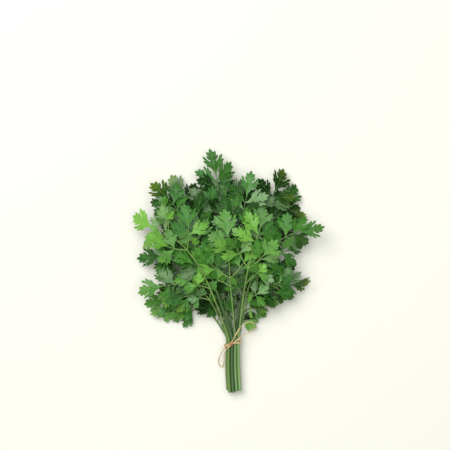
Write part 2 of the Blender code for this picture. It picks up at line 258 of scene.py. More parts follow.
def slot_x(row, place):
    return BUNDLE_X + STEM_PITCH * (place - (ROW_STEMS - 1) / 2 + ROW_SHIFTS[row % 2])


def layer_height(layer, x, y):
    """Height of one nested layer: at the tie the bundle's row, and in the crown a waved sheet."""
    from_tie = max(math.hypot(x, y - TIE_Y) - HELD_HALF_LENGTH, 0)
    across = (x - CROWN_X) / CROWN_HALF_WIDTH
    along = (y - CROWN_Y) / CROWN_HALF_LENGTH
    rim = across * across + along * along
    slope_top = TIE_HEIGHT + row_offset(ROW_COUNT - 1) + DOME_SLOPE * from_tie
    dome_top = DOME_RIM + DOME_RISE * (1 - rim)
    top = 0.5 * (slope_top + dome_top - math.hypot(slope_top - dome_top, DOME_BLEND))
    bottom = UNDERSIDE + UNDERSIDE_RIM_RISE * min(rim, RIM_LIMIT)
    depth = max(top - bottom, CROWN_LEAST_DEPTH)
    wave = WAVE_HEIGHT * math.sin(math.tau * x / WAVE_LENGTH_X + WAVE_PHASE)
    wave *= math.cos(math.tau * y / WAVE_LENGTH_Y)
    crown = bottom + layer / (LAYERS - 1) * (depth + wave)
    bundle = TIE_HEIGHT + row_offset(layer // ROW_STEMS)
    return bundle + smooth_step(from_tie / RAISE_LENGTH) * (crown - bundle)


def on_layer(layer, x, y):
    return Vector((x, y, layer_height(layer, x, y)))


def layer_normal(layer, x, y):
    step = 1 * MM
    slope_x = (layer_height(layer, x + step, y) - layer_height(layer, x - step, y)) / (2 * step)
    slope_y = (layer_height(layer, x, y + step) - layer_height(layer, x, y - step)) / (2 * step)
    return Vector((-slope_x, -slope_y, 1)).normalized()


def heading_vector(angle):
    """A flat direction, turned from +Y towards +X."""
    return Vector((math.sin(angle), math.cos(angle), 0))


def curve_between(start, start_pull, end, end_pull, count):
    """Points on the smooth curve that leaves start and reaches end along the two pulls."""
    points = []
    for step in range(count):
        s = step / (count - 1)
        points.append(
            (2 * s**3 - 3 * s**2 + 1) * start
            + (s**3 - 2 * s**2 + s) * start_pull
            + (3 * s**2 - 2 * s**3) * end
            + (s**3 - s**2) * end_pull
        )
    return points


class LeafyStem:
    """The places of one stem's axis, forks, side stalks and leaflets, before anything is made."""

    def __init__(self, row, place):
        fork_x, fork_y, heading, self.size = STEM_ROWS[row][place]
        number = row * ROW_STEMS + place
        self.name = f"leafy_stem_{number + 1:02d}"
        self.row = row
        self.place = place
        self.layer = row * ROW_STEMS + LAYER_ORDERS[row][place]
        self.random = random.Random(SEED + number)
        self.heading = math.radians(heading)
        self.tie = Vector((slot_x(row, place), TIE_Y + HELD_HALF_LENGTH, 0))
        self.fork = Vector((fork_x * MM, fork_y * MM, 0))
        chord = self.fork - self.tie
        self.chord_heading = math.atan2(chord.x, chord.y)
        self.lean = self.chord_heading + LEAN_SHARE * (self.heading - self.chord_heading)
        self.axis = []
        self.radii = []
        self.side_stalks = []
        self.leaflets = []
        self.blades = []
        self.sprays = []
        self.plan_straight_part()
        self.plan_fan()
        self.plan_tip()
        self.plan_side_stalks()

    def plan_straight_part(self):
        """From the cut end, bent a little aside and flat on the table in the bottom row, to the tie."""
        low_x = BUNDLE_X + (self.tie.x - BUNDLE_X) * CUT_SPREAD
        cut_y = CUT_END_Y + self.random.uniform(-1, 1) * CUT_STAGGER
        flat_height = STEM_CUT_RADIUS * math.cos(math.pi / STEM_SIDES)
        height = flat_height + (row_offset(self.row) - row_offset(0)) * CUT_SPREAD
        held_height = TIE_HEIGHT + row_offset(self.row)
        self.axis += [
            Vector((low_x + CUT_LEAN, cut_y, height)),
            Vector((low_x, STRAIGHT_TO_Y, height)),
            Vector((self.tie.x, TIE_Y - HELD_HALF_LENGTH, held_height)),
        ]
        self.radii += [STEM_CUT_RADIUS, STEM_CUT_RADIUS, STEM_TIE_RADIUS]

    def add_axis(self, points, first_radius, last_radius, skip=0):
        """Lay a run of the axis on the stem's layer, tapering from one radius to the other."""
        for step in range(skip, len(points)):
            share = step / (len(points) - 1)
            self.axis.append(on_layer(self.layer, points[step].x, points[step].y))
            self.radii.append(first_radius + share * (last_radius - first_radius))

    def plan_fan(self):
        """From the tie, splayed out at once, then on in a gentle bend to the first fork."""
        chord = (self.fork - self.tie).length
        start_pull = heading_vector(self.chord_heading * FAN_OPEN) * chord
        end_pull = heading_vector(self.lean) * chord * FAN_PULL
        fan = curve_between(self.tie, start_pull, self.fork, end_pull, FAN_POINTS)
        self.add_axis(fan, STEM_TIE_RADIUS, FIRST_FORK_RADIUS)

    def plan_tip(self):
        """From the first fork to the last, turned to the stem's own heading, with its leaflets."""
        length = FORK_LENGTH * self.size
        end = self.fork + heading_vector((self.lean + self.heading) / 2) * length
        start_pull = heading_vector(self.lean) * length
        end_pull = heading_vector(self.heading) * length
        tip = curve_between(self.fork, start_pull, end, end_pull, TIP_POINTS)
        self.add_axis(tip, FIRST_FORK_RADIUS, LAST_FORK_RADIUS, 1)
        back = tip[-1] + (tip[-2] - tip[-1]).normalized() * PAIR_SETBACK
        fork_heading = self.lean + (self.heading - self.lean) * 2 / 3
        self.leaflets.append(("axis", tip[-1], self.heading, TIP_LEAFLET))
        for side in (-1, 1):
            turned = self.heading + side * self.random.uniform(*PAIR_TURN)
            self.leaflets.append(("axis", back, turned, PAIR_LEAFLET))
        for side in (-1, 1):
            turned = fork_heading + side * self.random.uniform(*PAIR_TURN)
            self.leaflets.append(("axis", tip[-2], turned, FORK_LEAFLET))

    def plan_side_stalks(self):
        """A stalk on each side of the first fork, with a leaflet at its tip and a pair behind."""
        for side in (-1, 1):
            start = self.lean + side * SIDE_STALK_TURN * self.random.uniform(*SIDE_STALK_SPREAD)
            finish = start - side * SIDE_STALK_CURL
            length = SIDE_STALK_LENGTH * self.size * self.random.uniform(*SIDE_STALK_SPREAD)
            end = self.fork + heading_vector((start + finish) / 2) * length
            start_pull = heading_vector(start) * length
            end_pull = heading_vector(finish) * length
            stalk = curve_between(self.fork, start_pull, end, end_pull, SIDE_STALK_POINTS)
            root = f"side_{len(self.side_stalks)}"
            self.side_stalks.append([on_layer(self.layer, p.x, p.y) for p in stalk])
            self.leaflets.append((root, end, finish, SIDE_TIP_LEAFLET))
            back = end - heading_vector(finish) * PAIR_SETBACK
            for edge in (-1, 1):
                turned = finish + edge * self.random.uniform(*PAIR_TURN)
                self.leaflets.append((root, back, turned, SIDE_PAIR_LEAFLET))


stems = [LeafyStem(row, place) for row in range(ROW_COUNT) for place in range(ROW_STEMS)]


# Where the leaflets lie
# Each leaflet grows from its stalk and turns, rolls and tips until it lies clear of the stalks
# and leaflets already there, and the lowest ones rest on the table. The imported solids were
# placed by the same seeded tries, so the fine leaflets take the very same places.
BLADE_THICKNESS = 0.7 * MM
BLADE_CLEARANCE = 0.3 * MM
FOLD = (0.05, 0.35)
ARCH = (0.0, 0.22)
ROLL = (-0.5, 0.5)
PITCH = (-0.45, 0.35)
PLACE_TRIES = 48
WANDER_TURN = 0.6
WANDER_LIFT = 0.25
WANDER_SHRINK = 0.25
REST_TRIES = 24
REST_STEPS = 5
TABLE_GAP = 0.02 * MM
ROOM_BASE = (0.0, -0.02)
ROOM_HALF = ((0.28, 0.48), (0.25, 0.57), (0.35, 0.77), (0.11, 0.52), (0.18, 0.82))
ROOM_TIP = (0.0, 1.0)
ROOM_FORK = (0.0, 0.36)
WELD_DISTANCE = 0.01 * MM


def stalk_room(points, radii):
    """The space that a stalk takes, as a six-sided tube with a flat side down."""
    curve = bpy.data.curves.new("stalk_room", "CURVE")
    curve.dimensions = "3D"
    curve.twist_mode = "Z_UP"
    curve.bevel_depth = 1 * MM
    curve.bevel_resolution = STEM_SIDES // 2 - 2
    curve.use_fill_caps = True
    spline = curve.splines.new("POLY")
    spline.points.add(len(points) - 1)
    for control, point, radius in zip(spline.points, points, radii):
        control.co = (*point, 1)
        control.radius = radius / curve.bevel_depth
    guide = in_scene("stalk_room", curve)
    graph = bpy.context.evaluated_depsgraph_get()
    mesh = bpy.data.meshes.new_from_object(guide.evaluated_get(graph))
    bpy.data.objects.remove(guide, do_unlink=True)
    shape = bmesh.new()
    shape.from_mesh(mesh)
    bmesh.ops.remove_doubles(shape, verts=shape.verts, dist=WELD_DISTANCE)
    bmesh.ops.recalc_face_normals(shape, faces=shape.faces)
    shape.to_mesh(mesh)
    shape.free()
    return mesh


def leaflet_room(base, along, normal, length, fold, arch, thickness):
    """The space that a leaflet takes: a plain cut outline with its fold and arch."""
    shape = bmesh.new()
    left = [(-u, v) for u, v in reversed(ROOM_HALF)]
    rim = (ROOM_BASE, *ROOM_HALF, ROOM_TIP, *left)
    outline = [shape.verts.new((u, v, 0)) for u, v in rim]
    blade = shape.faces.new(outline)
    fork = bmesh.ops.poke(shape, faces=[blade])["verts"][0]
    fork.co = (*ROOM_FORK, 0)
    for vert in shape.verts:
        vert.co.z = fold * abs(vert.co.x) - arch * vert.co.y**2
        vert.co *= length
    under = shape.verts[:]
    copy = bmesh.ops.duplicate(shape, geom=shape.verts[:] + shape.edges[:] + shape.faces[:])
    upper = [item for item in copy["geom"] if isinstance(item, bmesh.types.BMVert)]
    bmesh.ops.translate(shape, vec=(0, 0, thickness / 2), verts=upper)
    bmesh.ops.translate(shape, vec=(0, 0, -thickness / 2), verts=under)
    above = copy["vert_map"]
    for here, there in zip(outline, outline[1:] + outline[:1]):
        shape.faces.new((here, there, above[there], above[here]))
    bmesh.ops.recalc_face_normals(shape, faces=shape.faces)
    across = along.cross(normal).normalized()
    turn = Matrix((across, along, normal)).transposed().to_4x4()
    shape.transform(Matrix.Translation(base) @ turn)
    return mesh_of(shape, "leaflet_room")


def lowest(mesh):
    return min(vert.co.z for vert in mesh.vertices)


class Placed:
    """What is already in place, so that a new leaflet can be bent clear of it."""

    def __init__(self):
        self.shapes = []

    @staticmethod
    def measure(mesh):
        mesh.calc_loop_triangles()
        points = [vert.co.copy() for vert in mesh.vertices]
        centre = sum(points, Vector()) / len(points)
        reach = max((point - centre).length for point in points)
        tree = BVHTree.FromPolygons(points, [t.vertices[:] for t in mesh.loop_triangles])
        return centre, reach, tree

    def add(self, owner, root, mesh):
        self.shapes.append((owner, root, *self.measure(mesh)))

    def touched_by(self, owner, root, base, mesh):
        """Whether the leaflet meets anything but its own stalk and the leaflet beside it."""
        centre, reach, tree = self.measure(mesh)
        for other, other_root, middle, far, shape in self.shapes:
            if other == owner and (other_root == root or other_root == base):
                continue
            if (middle - centre).length < far + reach and tree.overlap(shape):
                return True
        return False


def tilted(layer, base, heading, roll, pitch):
    """A leaflet's direction and normal: laid on its layer, then rolled and pitched."""
    normal = layer_normal(layer, base.x, base.y)
    along = heading_vector(heading)
    along = (along - normal * along.dot(normal)).normalized()
    normal = Matrix.Rotation(roll, 3, along) @ normal
    turn = Matrix.Rotation(pitch, 3, along.cross(normal))
    return turn @ along, turn @ normal


def place_leaflet(stem, placed, root, base, heading, length):
    """The first seeded tilt that keeps the leaflet clear of what is in place and of the table."""
    base = on_layer(stem.layer, base.x, base.y)
    pick = stem.random.uniform
    fold = pick(*FOLD)
    arch = pick(*ARCH)
    for attempt in range(PLACE_TRIES):
        wander = attempt / PLACE_TRIES
        turned = heading + wander * pick(-WANDER_TURN, WANDER_TURN)
        roll = pick(*ROLL)
        pitch = pick(PITCH[0], PITCH[1] + WANDER_LIFT * wander)
        size = length * stem.size * (1 - wander * WANDER_SHRINK)
        form = (size, fold * pick(1 - wander, 1), arch * pick(1 - wander, 1))
        pose = (base, *tilted(stem.layer, base, turned, roll, pitch), *form)
        if stem.row == 0 and attempt < REST_TRIES:
            for _ in range(REST_STEPS):
                pitch -= (lowest(leaflet_room(*pose, BLADE_THICKNESS)) - TABLE_GAP) / size
                pose = (base, *tilted(stem.layer, base, turned, roll, pitch), *form)
        mesh = leaflet_room(*pose, BLADE_THICKNESS)
        wide = (*pose[:3], size + 2 * BLADE_CLEARANCE, *form[1:])
        room = leaflet_room(*wide, BLADE_THICKNESS + 2 * BLADE_CLEARANCE)
        if lowest(mesh) > 0 and not placed.touched_by(stem.name, root, base, room):
            placed.add(stem.name, base, mesh)
            return pose
    return None


placed = Placed()
placed.add("raffia_tie", "tie", frame["nodes"]["raffia_tie"].data)
for stem in stems:
    placed.add(stem.name, "axis", stalk_room(stem.axis, stem.radii))
    for number, stalk in enumerate(stem.side_stalks):
        placed.add(stem.name, f"side_{number}", stalk_room(stalk, SIDE_STALK_RADII))
for stem in sorted(stems, key=lambda stem: BLADE_ORDER.index(stem.row)):
    for leaflet in stem.leaflets:
        pose = place_leaflet(stem, placed, *leaflet)
        if pose:
            stem.blades.append(pose)


# The small inner sprays and the young stalks
# Sprays branch off inside the crown and young stalks rise from the tie, each with up to three
# small leaflets. They fill the depth of the bunch wherever they find room.
INNER_SEED = 7
# Most sprays grow on the lowest rows, whose leaves take the darkest painted shade, so they fill the
# crown's gaps with dark leaves
SPRAYS_A_STEM = (44, 30, 11, 5)
SPRAY_FROM_Y = 69 * MM
FAN_SPRAY_FROM_Y = (56 * MM, 58 * MM, 90 * MM, 96 * MM)
FAN_HALF_WIDTH = 15 * MM
SPRAY_SHARE = (0.1, 1.0)
SPRAY_TURN = (0.45, 1.0)
SPRAY_LENGTH = (8 * MM, 20 * MM)
SPRAY_RADII = (0.55 * MM, 0.5 * MM, 0.4 * MM)
# Shortest and longest small leaflets in each row
SPRAY_LEAFLETS = ((16 * MM, 24 * MM), (16 * MM, 24 * MM), (14 * MM, 22 * MM), (14 * MM, 21 * MM))
SPRAY_BEND = 0.1
SPRAY_PAIR_TURN = (0.9, 1.3)
SPRAY_WANDER = (-0.4, 0.4)
SPRAY_SHRINK = (0.8, 1)
SPRAY_TRIES = 12
SPRAY_PITCH = (-0.5, 0.6)
SPRAY_ROLL = (-0.8, 0.8)
SPRAY_THICKNESS = 0.4 * MM
FAN_START = 3
AXIS_LAST = FAN_START + FAN_POINTS + TIP_POINTS - 3
# Young stalks held at the tie: their headings at the left and right of the bundle, and lengths
YOUNG_SEED = 31
YOUNG_TRIES = 12
YOUNG_RISE = 1.1 * MM
YOUNG_LAYER_SHIFT = 1.5
YOUNG_HEADINGS = (math.radians(-44), math.radians(36))
YOUNG_REACH = (34 * MM, 62 * MM)
YOUNG_SPREAD = (-0.25, 0.25)
YOUNG_PARTS = (0.35, 0.7, 1.0)
YOUNG_TURN = (0.8, 0.2)
YOUNG_PAIR_TURN = (0.8, 1.2)
YOUNG_RADII = (0.5 * MM, 0.55 * MM, 0.55 * MM, 0.5 * MM, 0.4 * MM)


def place_small_leaflet(stem, pick, placed, base, heading):
    """As the large leaflets are placed, with fewer tries and a thinner space to keep."""
    length = pick(*SPRAY_LEAFLETS[stem.row])
    for _ in range(SPRAY_TRIES):
        turned = heading + pick(*SPRAY_WANDER)
        way = tilted(stem.layer, base, turned, pick(*SPRAY_ROLL), pick(*SPRAY_PITCH))
        pose = (base, *way, length * pick(*SPRAY_SHRINK), pick(*FOLD), pick(*ARCH))
        room = leaflet_room(*pose, SPRAY_THICKNESS)
        if lowest(room) > 0 and not placed.touched_by(stem.name, base, base, room):
            placed.add(stem.name, base, room)
            stem.blades.append(pose)
            return True
    return False


def add_sprays(stem, placed):
    pick = random.Random(INNER_SEED + stem.layer).uniform
    for number in range(SPRAYS_A_STEM[stem.row]):
        share = pick(*SPRAY_SHARE) * (AXIS_LAST - FAN_START) + FAN_START
        step = min(int(share), AXIS_LAST - 1)
        here, there = stem.axis[step], stem.axis[step + 1]
        root = here.lerp(there, share - step)
        way = there - here
        side = 1 if number % 2 else -1
        heading = math.atan2(way.x, way.y) + side * pick(*SPRAY_TURN)
        length = pick(*SPRAY_LENGTH)
        middle = root + heading_vector(heading) * length / 2
        end = root + heading_vector(heading + side * SPRAY_BEND) * length
        in_fan = abs(end.x - BUNDLE_X) < FAN_HALF_WIDTH
        if end.y < (FAN_SPRAY_FROM_Y[stem.row] if in_fan else SPRAY_FROM_Y):
            continue
        middle = on_layer(stem.layer, middle.x, middle.y)
        end = on_layer(stem.layer, end.x, end.y)
        turns = (0, -pick(*SPRAY_PAIR_TURN), pick(*SPRAY_PAIR_TURN))
        if any([place_small_leaflet(stem, pick, placed, end, heading + turn) for turn in turns]):
            stem.sprays.append(([root, middle, end], SPRAY_RADII))


def add_young_stalk(row, place, placed):
    """A thin young stalk, held between thicker ones at the tie, with small leaflets at its end."""
    stem = stems[row * ROW_STEMS + place]
    pick = random.Random(YOUNG_SEED + stem.layer).uniform
    x = (slot_x(row, place) + slot_x(row, place + 1)) / 2
    z = TIE_HEIGHT + row_offset(row) + YOUNG_RISE
    start = Vector((x, TIE_Y - HELD_HALF_LENGTH, z))
    held = Vector((x, TIE_Y + HELD_HALF_LENGTH, z))
    across = (place + ROW_SHIFTS[row % 2]) / (ROW_STEMS - 2)
    for _ in range(YOUNG_TRIES):
        share = across + pick(*YOUNG_SPREAD)
        heading = YOUNG_HEADINGS[0] + share * (YOUNG_HEADINGS[1] - YOUNG_HEADINGS[0])
        reach = pick(*YOUNG_REACH)
        line = [start, held]
        for part in YOUNG_PARTS:
            turned = heading * (YOUNG_TURN[0] + YOUNG_TURN[1] * part)
            spot = held + heading_vector(turned) * reach * part
            line.append(on_layer(stem.layer + YOUNG_LAYER_SHIFT, spot.x, spot.y))
        room = stalk_room(line[1:], YOUNG_RADII[1:])
        if placed.touched_by("young_stalks", stem.name, None, room):
            continue
        placed.add(stem.name, "young", room)
        stem.sprays.append((line, YOUNG_RADII))
        for turn in (0, -pick(*YOUNG_PAIR_TURN), pick(*YOUNG_PAIR_TURN)):
            place_small_leaflet(stem, pick, placed, line[-1], heading + turn)
        return


for row in range(ROW_COUNT - 1):
    for place in range(ROW_STEMS - 1):
        add_young_stalk(row, place, placed)
for stem in stems:
    add_sprays(stem, placed)


# The leaflet blades
# Thin fresh leaf, cut into three lobes with pointed teeth. The veins lie in fine grooves on
# the glossy upper side, the leaf puffs up between them, and the matt underside is paler.
BLADE_STALK = (0.012, -0.02)
BLADE_WEDGE = ((0.030, 0.10), (0.085, 0.225), (0.160, 0.340))
# Tooth tips and the notches between them, from the lowest outer tooth up to the leaf's tip
BLADE_TEETH = (
    (0.310, 0.470),
    (0.205, 0.455),
    (0.375, 0.640),
    (0.250, 0.600),
    (0.350, 0.815),
    (0.205, 0.640),
    (0.062, 0.375),
    (0.100, 0.590),
    (0.212, 0.775),
    (0.118, 0.735),
    (0.165, 0.915),
    (0.070, 0.870),
)
TOOTH_BULGE = 0.14
BLADE_TIP = (0.0, 1.0)
# Each rib's start on the midrib, how far up it climbs for each step outwards, and its reach
BLADE_RIBS = ((0.10, 1.20, 0.29), (0.16, 1.72, 0.34), (0.52, 1.20, 0.20), (0.68, 1.30, 0.16))
RIB_MARGIN = 0.05
RIB_STEP = 0.12
MIDRIB_STEP = 0.14
PUFF = 0.022
PUFF_WIDTH = 0.06
PUFFS = (
    (0.06, 0.26),
    (0.15, 0.38),
    (0.25, 0.51),
    (0.04, 0.40),
    (0.14, 0.50),
    (0.28, 0.70),
    (0.06, 0.66),
    (0.11, 0.73),
    (0.05, 0.80),
)
FINE_THICKNESS = 0.014
INSIDE_ONLY = 1
SAME_PLACE = 1e-5
# Leaf forms: width, lean of the tip to a side, spread of the outer lobes, and how uneven it is
LEAF_FORMS = (
    (1.00, 0.00, 0.00, 0.00),
    (0.88, 0.06, 0.10, 0.08),
    (1.08, -0.05, 0.06, -0.06),
    (0.95, -0.10, 0.14, 0.12),
    (1.02, 0.09, -0.08, -0.14),
    (0.82, 0.03, 0.18, 0.02),
)


def rib_gap(u, v):
    """Distance of a place on the blade from the nearest vein."""
    u = abs(u)
    gap = u
    for start, climb, reach in BLADE_RIBS:
        if v >= start and u <= reach + RIB_MARGIN:
            gap = min(gap, abs(v - start - climb * u) / math.hypot(1, climb))
    return gap


def right_edge():
    """The right half of the cut outline, from the base to just below the tip."""
    edge = [BLADE_STALK, *BLADE_WEDGE]
    corners = [BLADE_WEDGE[-1], *BLADE_TEETH, BLADE_TIP]
    for (u0, v0), (u1, v1) in zip(corners, corners[1:]):
        edge.append(((u0 + u1) / 2 + (v1 - v0) * TOOTH_BULGE, (v0 + v1) / 2 - (u1 - u0) * TOOTH_BULGE))
        edge.append((u1, v1))
    return edge[:-1]


def blade_form(name, width, lean, spread, uneven):
    """One form of leaflet in its own units, its base at the origin and its tip near v = 1."""
    right = right_edge()
    outline = [*right, BLADE_TIP, *[(-u, v) for u, v in reversed(right)]]
    points = [Vector(place) for place in outline]
    lines = [(step, (step + 1) % len(points)) for step in range(len(points))]
    steps = int(1 / MIDRIB_STEP)
    points += [Vector((0, step * MIDRIB_STEP)) for step in range(1, steps + 1)]
    for start, climb, reach in BLADE_RIBS:
        for step in range(1, int(reach / RIB_STEP) + 1):
            u = step * RIB_STEP - RIB_STEP / 4
            points += [Vector((u, start + climb * u)), Vector((-u, start + climb * u))]
    for u, v in PUFFS:
        points += [Vector((u, v)), Vector((-u, v))]
    places, _, faces, *_ = delaunay_2d_cdt(points, lines, [], INSIDE_ONLY, SAME_PLACE)
    shape = bmesh.new()
    uv_layer = shape.loops.layers.uv.new("blade_uv")
    place_layer = shape.verts.layers.float_vector.new("blade_place")
    under_layer = shape.verts.layers.float.new("underside")
    upper = []
    for place in places:
        u, v = place
        puff = PUFF * smooth_step(rib_gap(u, v) / PUFF_WIDTH)
        warped_u = u * width * (1 + uneven * (1 if u > 0 else -1) * abs(u) * 2)
        warped_u += lean * v * v + spread * u * v
        warped_v = v - abs(spread * u) * v
        vert = shape.verts.new((warped_u, warped_v, puff))
        vert[place_layer] = (u, v, 0)
        upper.append(vert)
    for face in faces:
        shape.faces.new([upper[corner] for corner in face])
    shape.normal_update()
    for face in shape.faces:
        if face.normal.z < 0:
            face.normal_flip()
    copy = bmesh.ops.duplicate(shape, geom=shape.verts[:] + shape.edges[:] + shape.faces[:])
    below = copy["vert_map"]
    for item in copy["geom"]:
        if isinstance(item, bmesh.types.BMFace):
            item.normal_flip()
        if isinstance(item, bmesh.types.BMVert):
            item.co.z -= FINE_THICKNESS
            item[under_layer] = 1.0
    rim = [edge for edge in shape.edges if edge.is_boundary and edge.verts[0][under_layer] < 0.5]
    for edge in rim:
        here, there = edge.verts
        corner = edge.link_loops[0]
        if corner.vert != here:
            here, there = there, here
        shape.faces.new((there, here, below[here], below[there]))
        edge.smooth = False
    for edge in shape.edges:
        if edge.verts[0][under_layer] > 0.5 and edge.verts[1][under_layer] > 0.5:
            if any(face.normal.z == 0 for face in edge.link_faces):
                edge.smooth = False
    for face in shape.faces:
        face.smooth = True
        for corner in face.loops:
            u, v, _ = corner.vert[place_layer]
            corner[uv_layer].uv = (u + 0.5, v)
    return bpy.data.objects.new(name, mesh_of(shape, name))


blade_forms = bpy.data.collections.new("blade_forms")
bpy.context.scene.collection.children.link(blade_forms)
for number, form in enumerate(LEAF_FORMS):
    blade_forms.objects.link(blade_form(f"blade_form_{number}", *form))


def math_node(tree, operation, *values, clamp=False):
    """The result of one Math node on sockets and numbers."""
    node = add_node(tree, "ShaderNodeMath", dict(enumerate(values)), operation=operation)
    node.use_clamp = clamp
    return node.outputs[0]


def times(tree, first, second, clamp=False):
    """The product of two sockets or numbers."""
    return math_node(tree, "MULTIPLY", first, second, clamp=clamp)


def scaled(tree, value, factor, shift, clamp=False):
    """The value times the factor, plus the shift."""
    return math_node(tree, "MULTIPLY_ADD", value, factor, shift, clamp=clamp)


def split(tree, vector):
    """A vector's X, Y and Z."""
    return add_node(tree, "ShaderNodeSeparateXYZ", {"Vector": vector}).outputs[:3]


def mix_colours(tree, share, first, second):
    """Two colours mixed by a share, each given as a colour or a socket."""
    inputs = {0: share, 6: first, 7: second}
    return add_node(tree, "ShaderNodeMix", inputs, data_type="RGBA").outputs[2]


def attribute(tree, name):
    return add_node(tree, "ShaderNodeAttribute", attribute_name=name).outputs["Fac"]


def noise(tree, scale, detail, roughness=0.5):
    """Cloudy variation through the piece's own space, with its scale in bumps a metre."""
    place = add_node(tree, "ShaderNodeTexCoord").outputs["Object"]
    inputs = {"Vector": place, "Scale": scale, "Detail": detail, "Roughness": roughness}
    return add_node(tree, "ShaderNodeTexNoise", inputs).outputs["Fac"]


def three_tones(tree, tone, low, middle, high, middle_at):
    """The colour for a tone: low at 0, high at 1, and another at a place between them."""
    ramp = add_node(tree, "ShaderNodeValToRGB", {"Fac": tone})
    ramp.color_ramp.elements[0].color = low
    ramp.color_ramp.elements[1].color = high
    ramp.color_ramp.elements.new(middle_at).color = middle
    return ramp.outputs["Color"]


def add_bump(tree, shader, strength, distance, height):
    """Fine relief from a height field, with its strength and depth."""
    inputs = {"Strength": strength, "Distance": distance, "Height": height}
    bump = add_node(tree, "ShaderNodeBump", inputs)
    tree.links.new(bump.outputs["Normal"], shader.inputs["Normal"])


# The leaf greens: the darkest is painted shade for leaves deep in the bunch, the brightest painted
# light for leaves on top and at the rim
LEAF_DARK_PAINTED_SHADE = (0.005, 0.028, 0.004, 1)
LEAF_MID = (0.048, 0.205, 0.020, 1)
LEAF_BRIGHT_PAINTED_LIGHT = (0.205, 0.510, 0.062, 1)
LEAF_COOL = (0.050, 0.170, 0.070, 1)
LEAF_YELLOW = (0.330, 0.520, 0.040, 1)
LEAF_VEIN = (0.210, 0.450, 0.110, 1)
LEAF_PALE = (0.170, 0.330, 0.110, 1)
# A pale silvery green painted into some leaves as painted sheen, for the gloss they reflect
LEAF_PAINTED_SHEEN = (0.340, 0.480, 0.290, 1)
LEAF_ROUGHNESS = 0.42
# Shine and roughness as they start, and what the tone, the underside and the grain add
LEAF_SHINE = (0.05, 0.42)
TOP_ROUGHNESS = 0.34
UNDERSIDE_ROUGHER = 0.25
GRAIN_ROUGHER = 0.16
# Bumps a metre and detail of each cloudy variation
MOTTLE_NOISE = (160, 3)
PAINTED_SHEEN_NOISE = (110, 2)
GLOSS_NOISE = (420, 2)
GRAIN_NOISE = (900, 2)
MOTTLE = (0.36, -0.18)
GRAIN_HEIGHT = 0.35
VEIN_GROOVE = -0.8
LEAF_BUMP = (0.35, 0.25 * MM)
YELLOW_TIP_POWER = 3.0
UNDERSIDE_PALE = 0.62
TOP_VEINS = 0.6
UNDERSIDE_VEINS = 0.7
MIDRIB_WIDTH = 0.016
MIDRIB_TAPER = 0.7
RIB_WIDTH = 0.009
RIB_STRENGTH = 0.75


def vein_mask(tree):
    """1 on the midrib and the ribs, falling to 0 beside them, from the blade's own UV."""
    uv = add_node(tree, "ShaderNodeUVMap", uv_map="blade_uv").outputs["UV"]
    u, up, _ = split(tree, uv)
    across = math_node(tree, "ABSOLUTE", math_node(tree, "SUBTRACT", u, 0.5))
    width = scaled(tree, up, -MIDRIB_WIDTH * MIDRIB_TAPER, MIDRIB_WIDTH)
    veins = math_node(tree, "SUBTRACT", 1.0, math_node(tree, "DIVIDE", across, width), clamp=True)
    for start, climb, _ in BLADE_RIBS:
        rise = math_node(tree, "SUBTRACT", up, start)
        gap = math_node(tree, "ABSOLUTE", scaled(tree, across, -climb, rise))
        width = RIB_WIDTH * math.hypot(1, climb)
        line = math_node(tree, "SUBTRACT", 1.0, math_node(tree, "DIVIDE", gap, width), clamp=True)
        veins = math_node(tree, "MAXIMUM", veins, times(tree, line, RIB_STRENGTH))
    return veins, up


def make_leaf_material():
    material, tree, shader = new_material("parsley_leaf", LEAF_ROUGHNESS)
    mottled = scaled(tree, noise(tree, *MOTTLE_NOISE), *MOTTLE)
    # The tone, which carries painted shade and painted light by layer and rim besides its random
    # spread, picks the green from dark to bright
    tone = math_node(tree, "ADD", attribute(tree, "tone"), mottled, clamp=True)
    green = three_tones(tree, tone, LEAF_DARK_PAINTED_SHADE, LEAF_MID, LEAF_BRIGHT_PAINTED_LIGHT, 0.5)
    veins, up = vein_mask(tree)
    tips = math_node(tree, "POWER", math_node(tree, "MAXIMUM", up, 0.0), YELLOW_TIP_POWER)
    yellow = times(tree, attribute(tree, "yellowing"), tips, clamp=True)
    top = mix_colours(tree, attribute(tree, "coolness"), green, LEAF_COOL)
    # Painted sheen: in cloudy patches, some leaves are mixed towards a pale silvery grey that stands in
    # for glossy reflection
    sheen = times(tree, attribute(tree, "sheen"), noise(tree, *PAINTED_SHEEN_NOISE))
    top = mix_colours(tree, sheen, top, LEAF_PAINTED_SHEEN)
    top = mix_colours(tree, yellow, top, LEAF_YELLOW)
    top = mix_colours(tree, times(tree, veins, TOP_VEINS), top, LEAF_VEIN)
    below = mix_colours(tree, UNDERSIDE_PALE, green, LEAF_PALE)
    below = mix_colours(tree, times(tree, veins, UNDERSIDE_VEINS), below, LEAF_VEIN)
    underside = attribute(tree, "underside")
    tree.links.new(mix_colours(tree, underside, top, below), shader.inputs["Base Color"])
    gloss = scaled(tree, underside, UNDERSIDE_ROUGHER, TOP_ROUGHNESS)
    gloss = scaled(tree, noise(tree, *GLOSS_NOISE), GRAIN_ROUGHER, gloss)
    tree.links.new(gloss, shader.inputs["Roughness"])
    shine = scaled(tree, tone, LEAF_SHINE[1], LEAF_SHINE[0])
    tree.links.new(shine, shader.inputs["Specular IOR Level"])
    grooves = times(tree, veins, VEIN_GROOVE)
    relief = scaled(tree, noise(tree, *GRAIN_NOISE), GRAIN_HEIGHT, grooves)
    add_bump(tree, shader, *LEAF_BUMP, relief)
    return material


leaf_material = make_leaf_material()


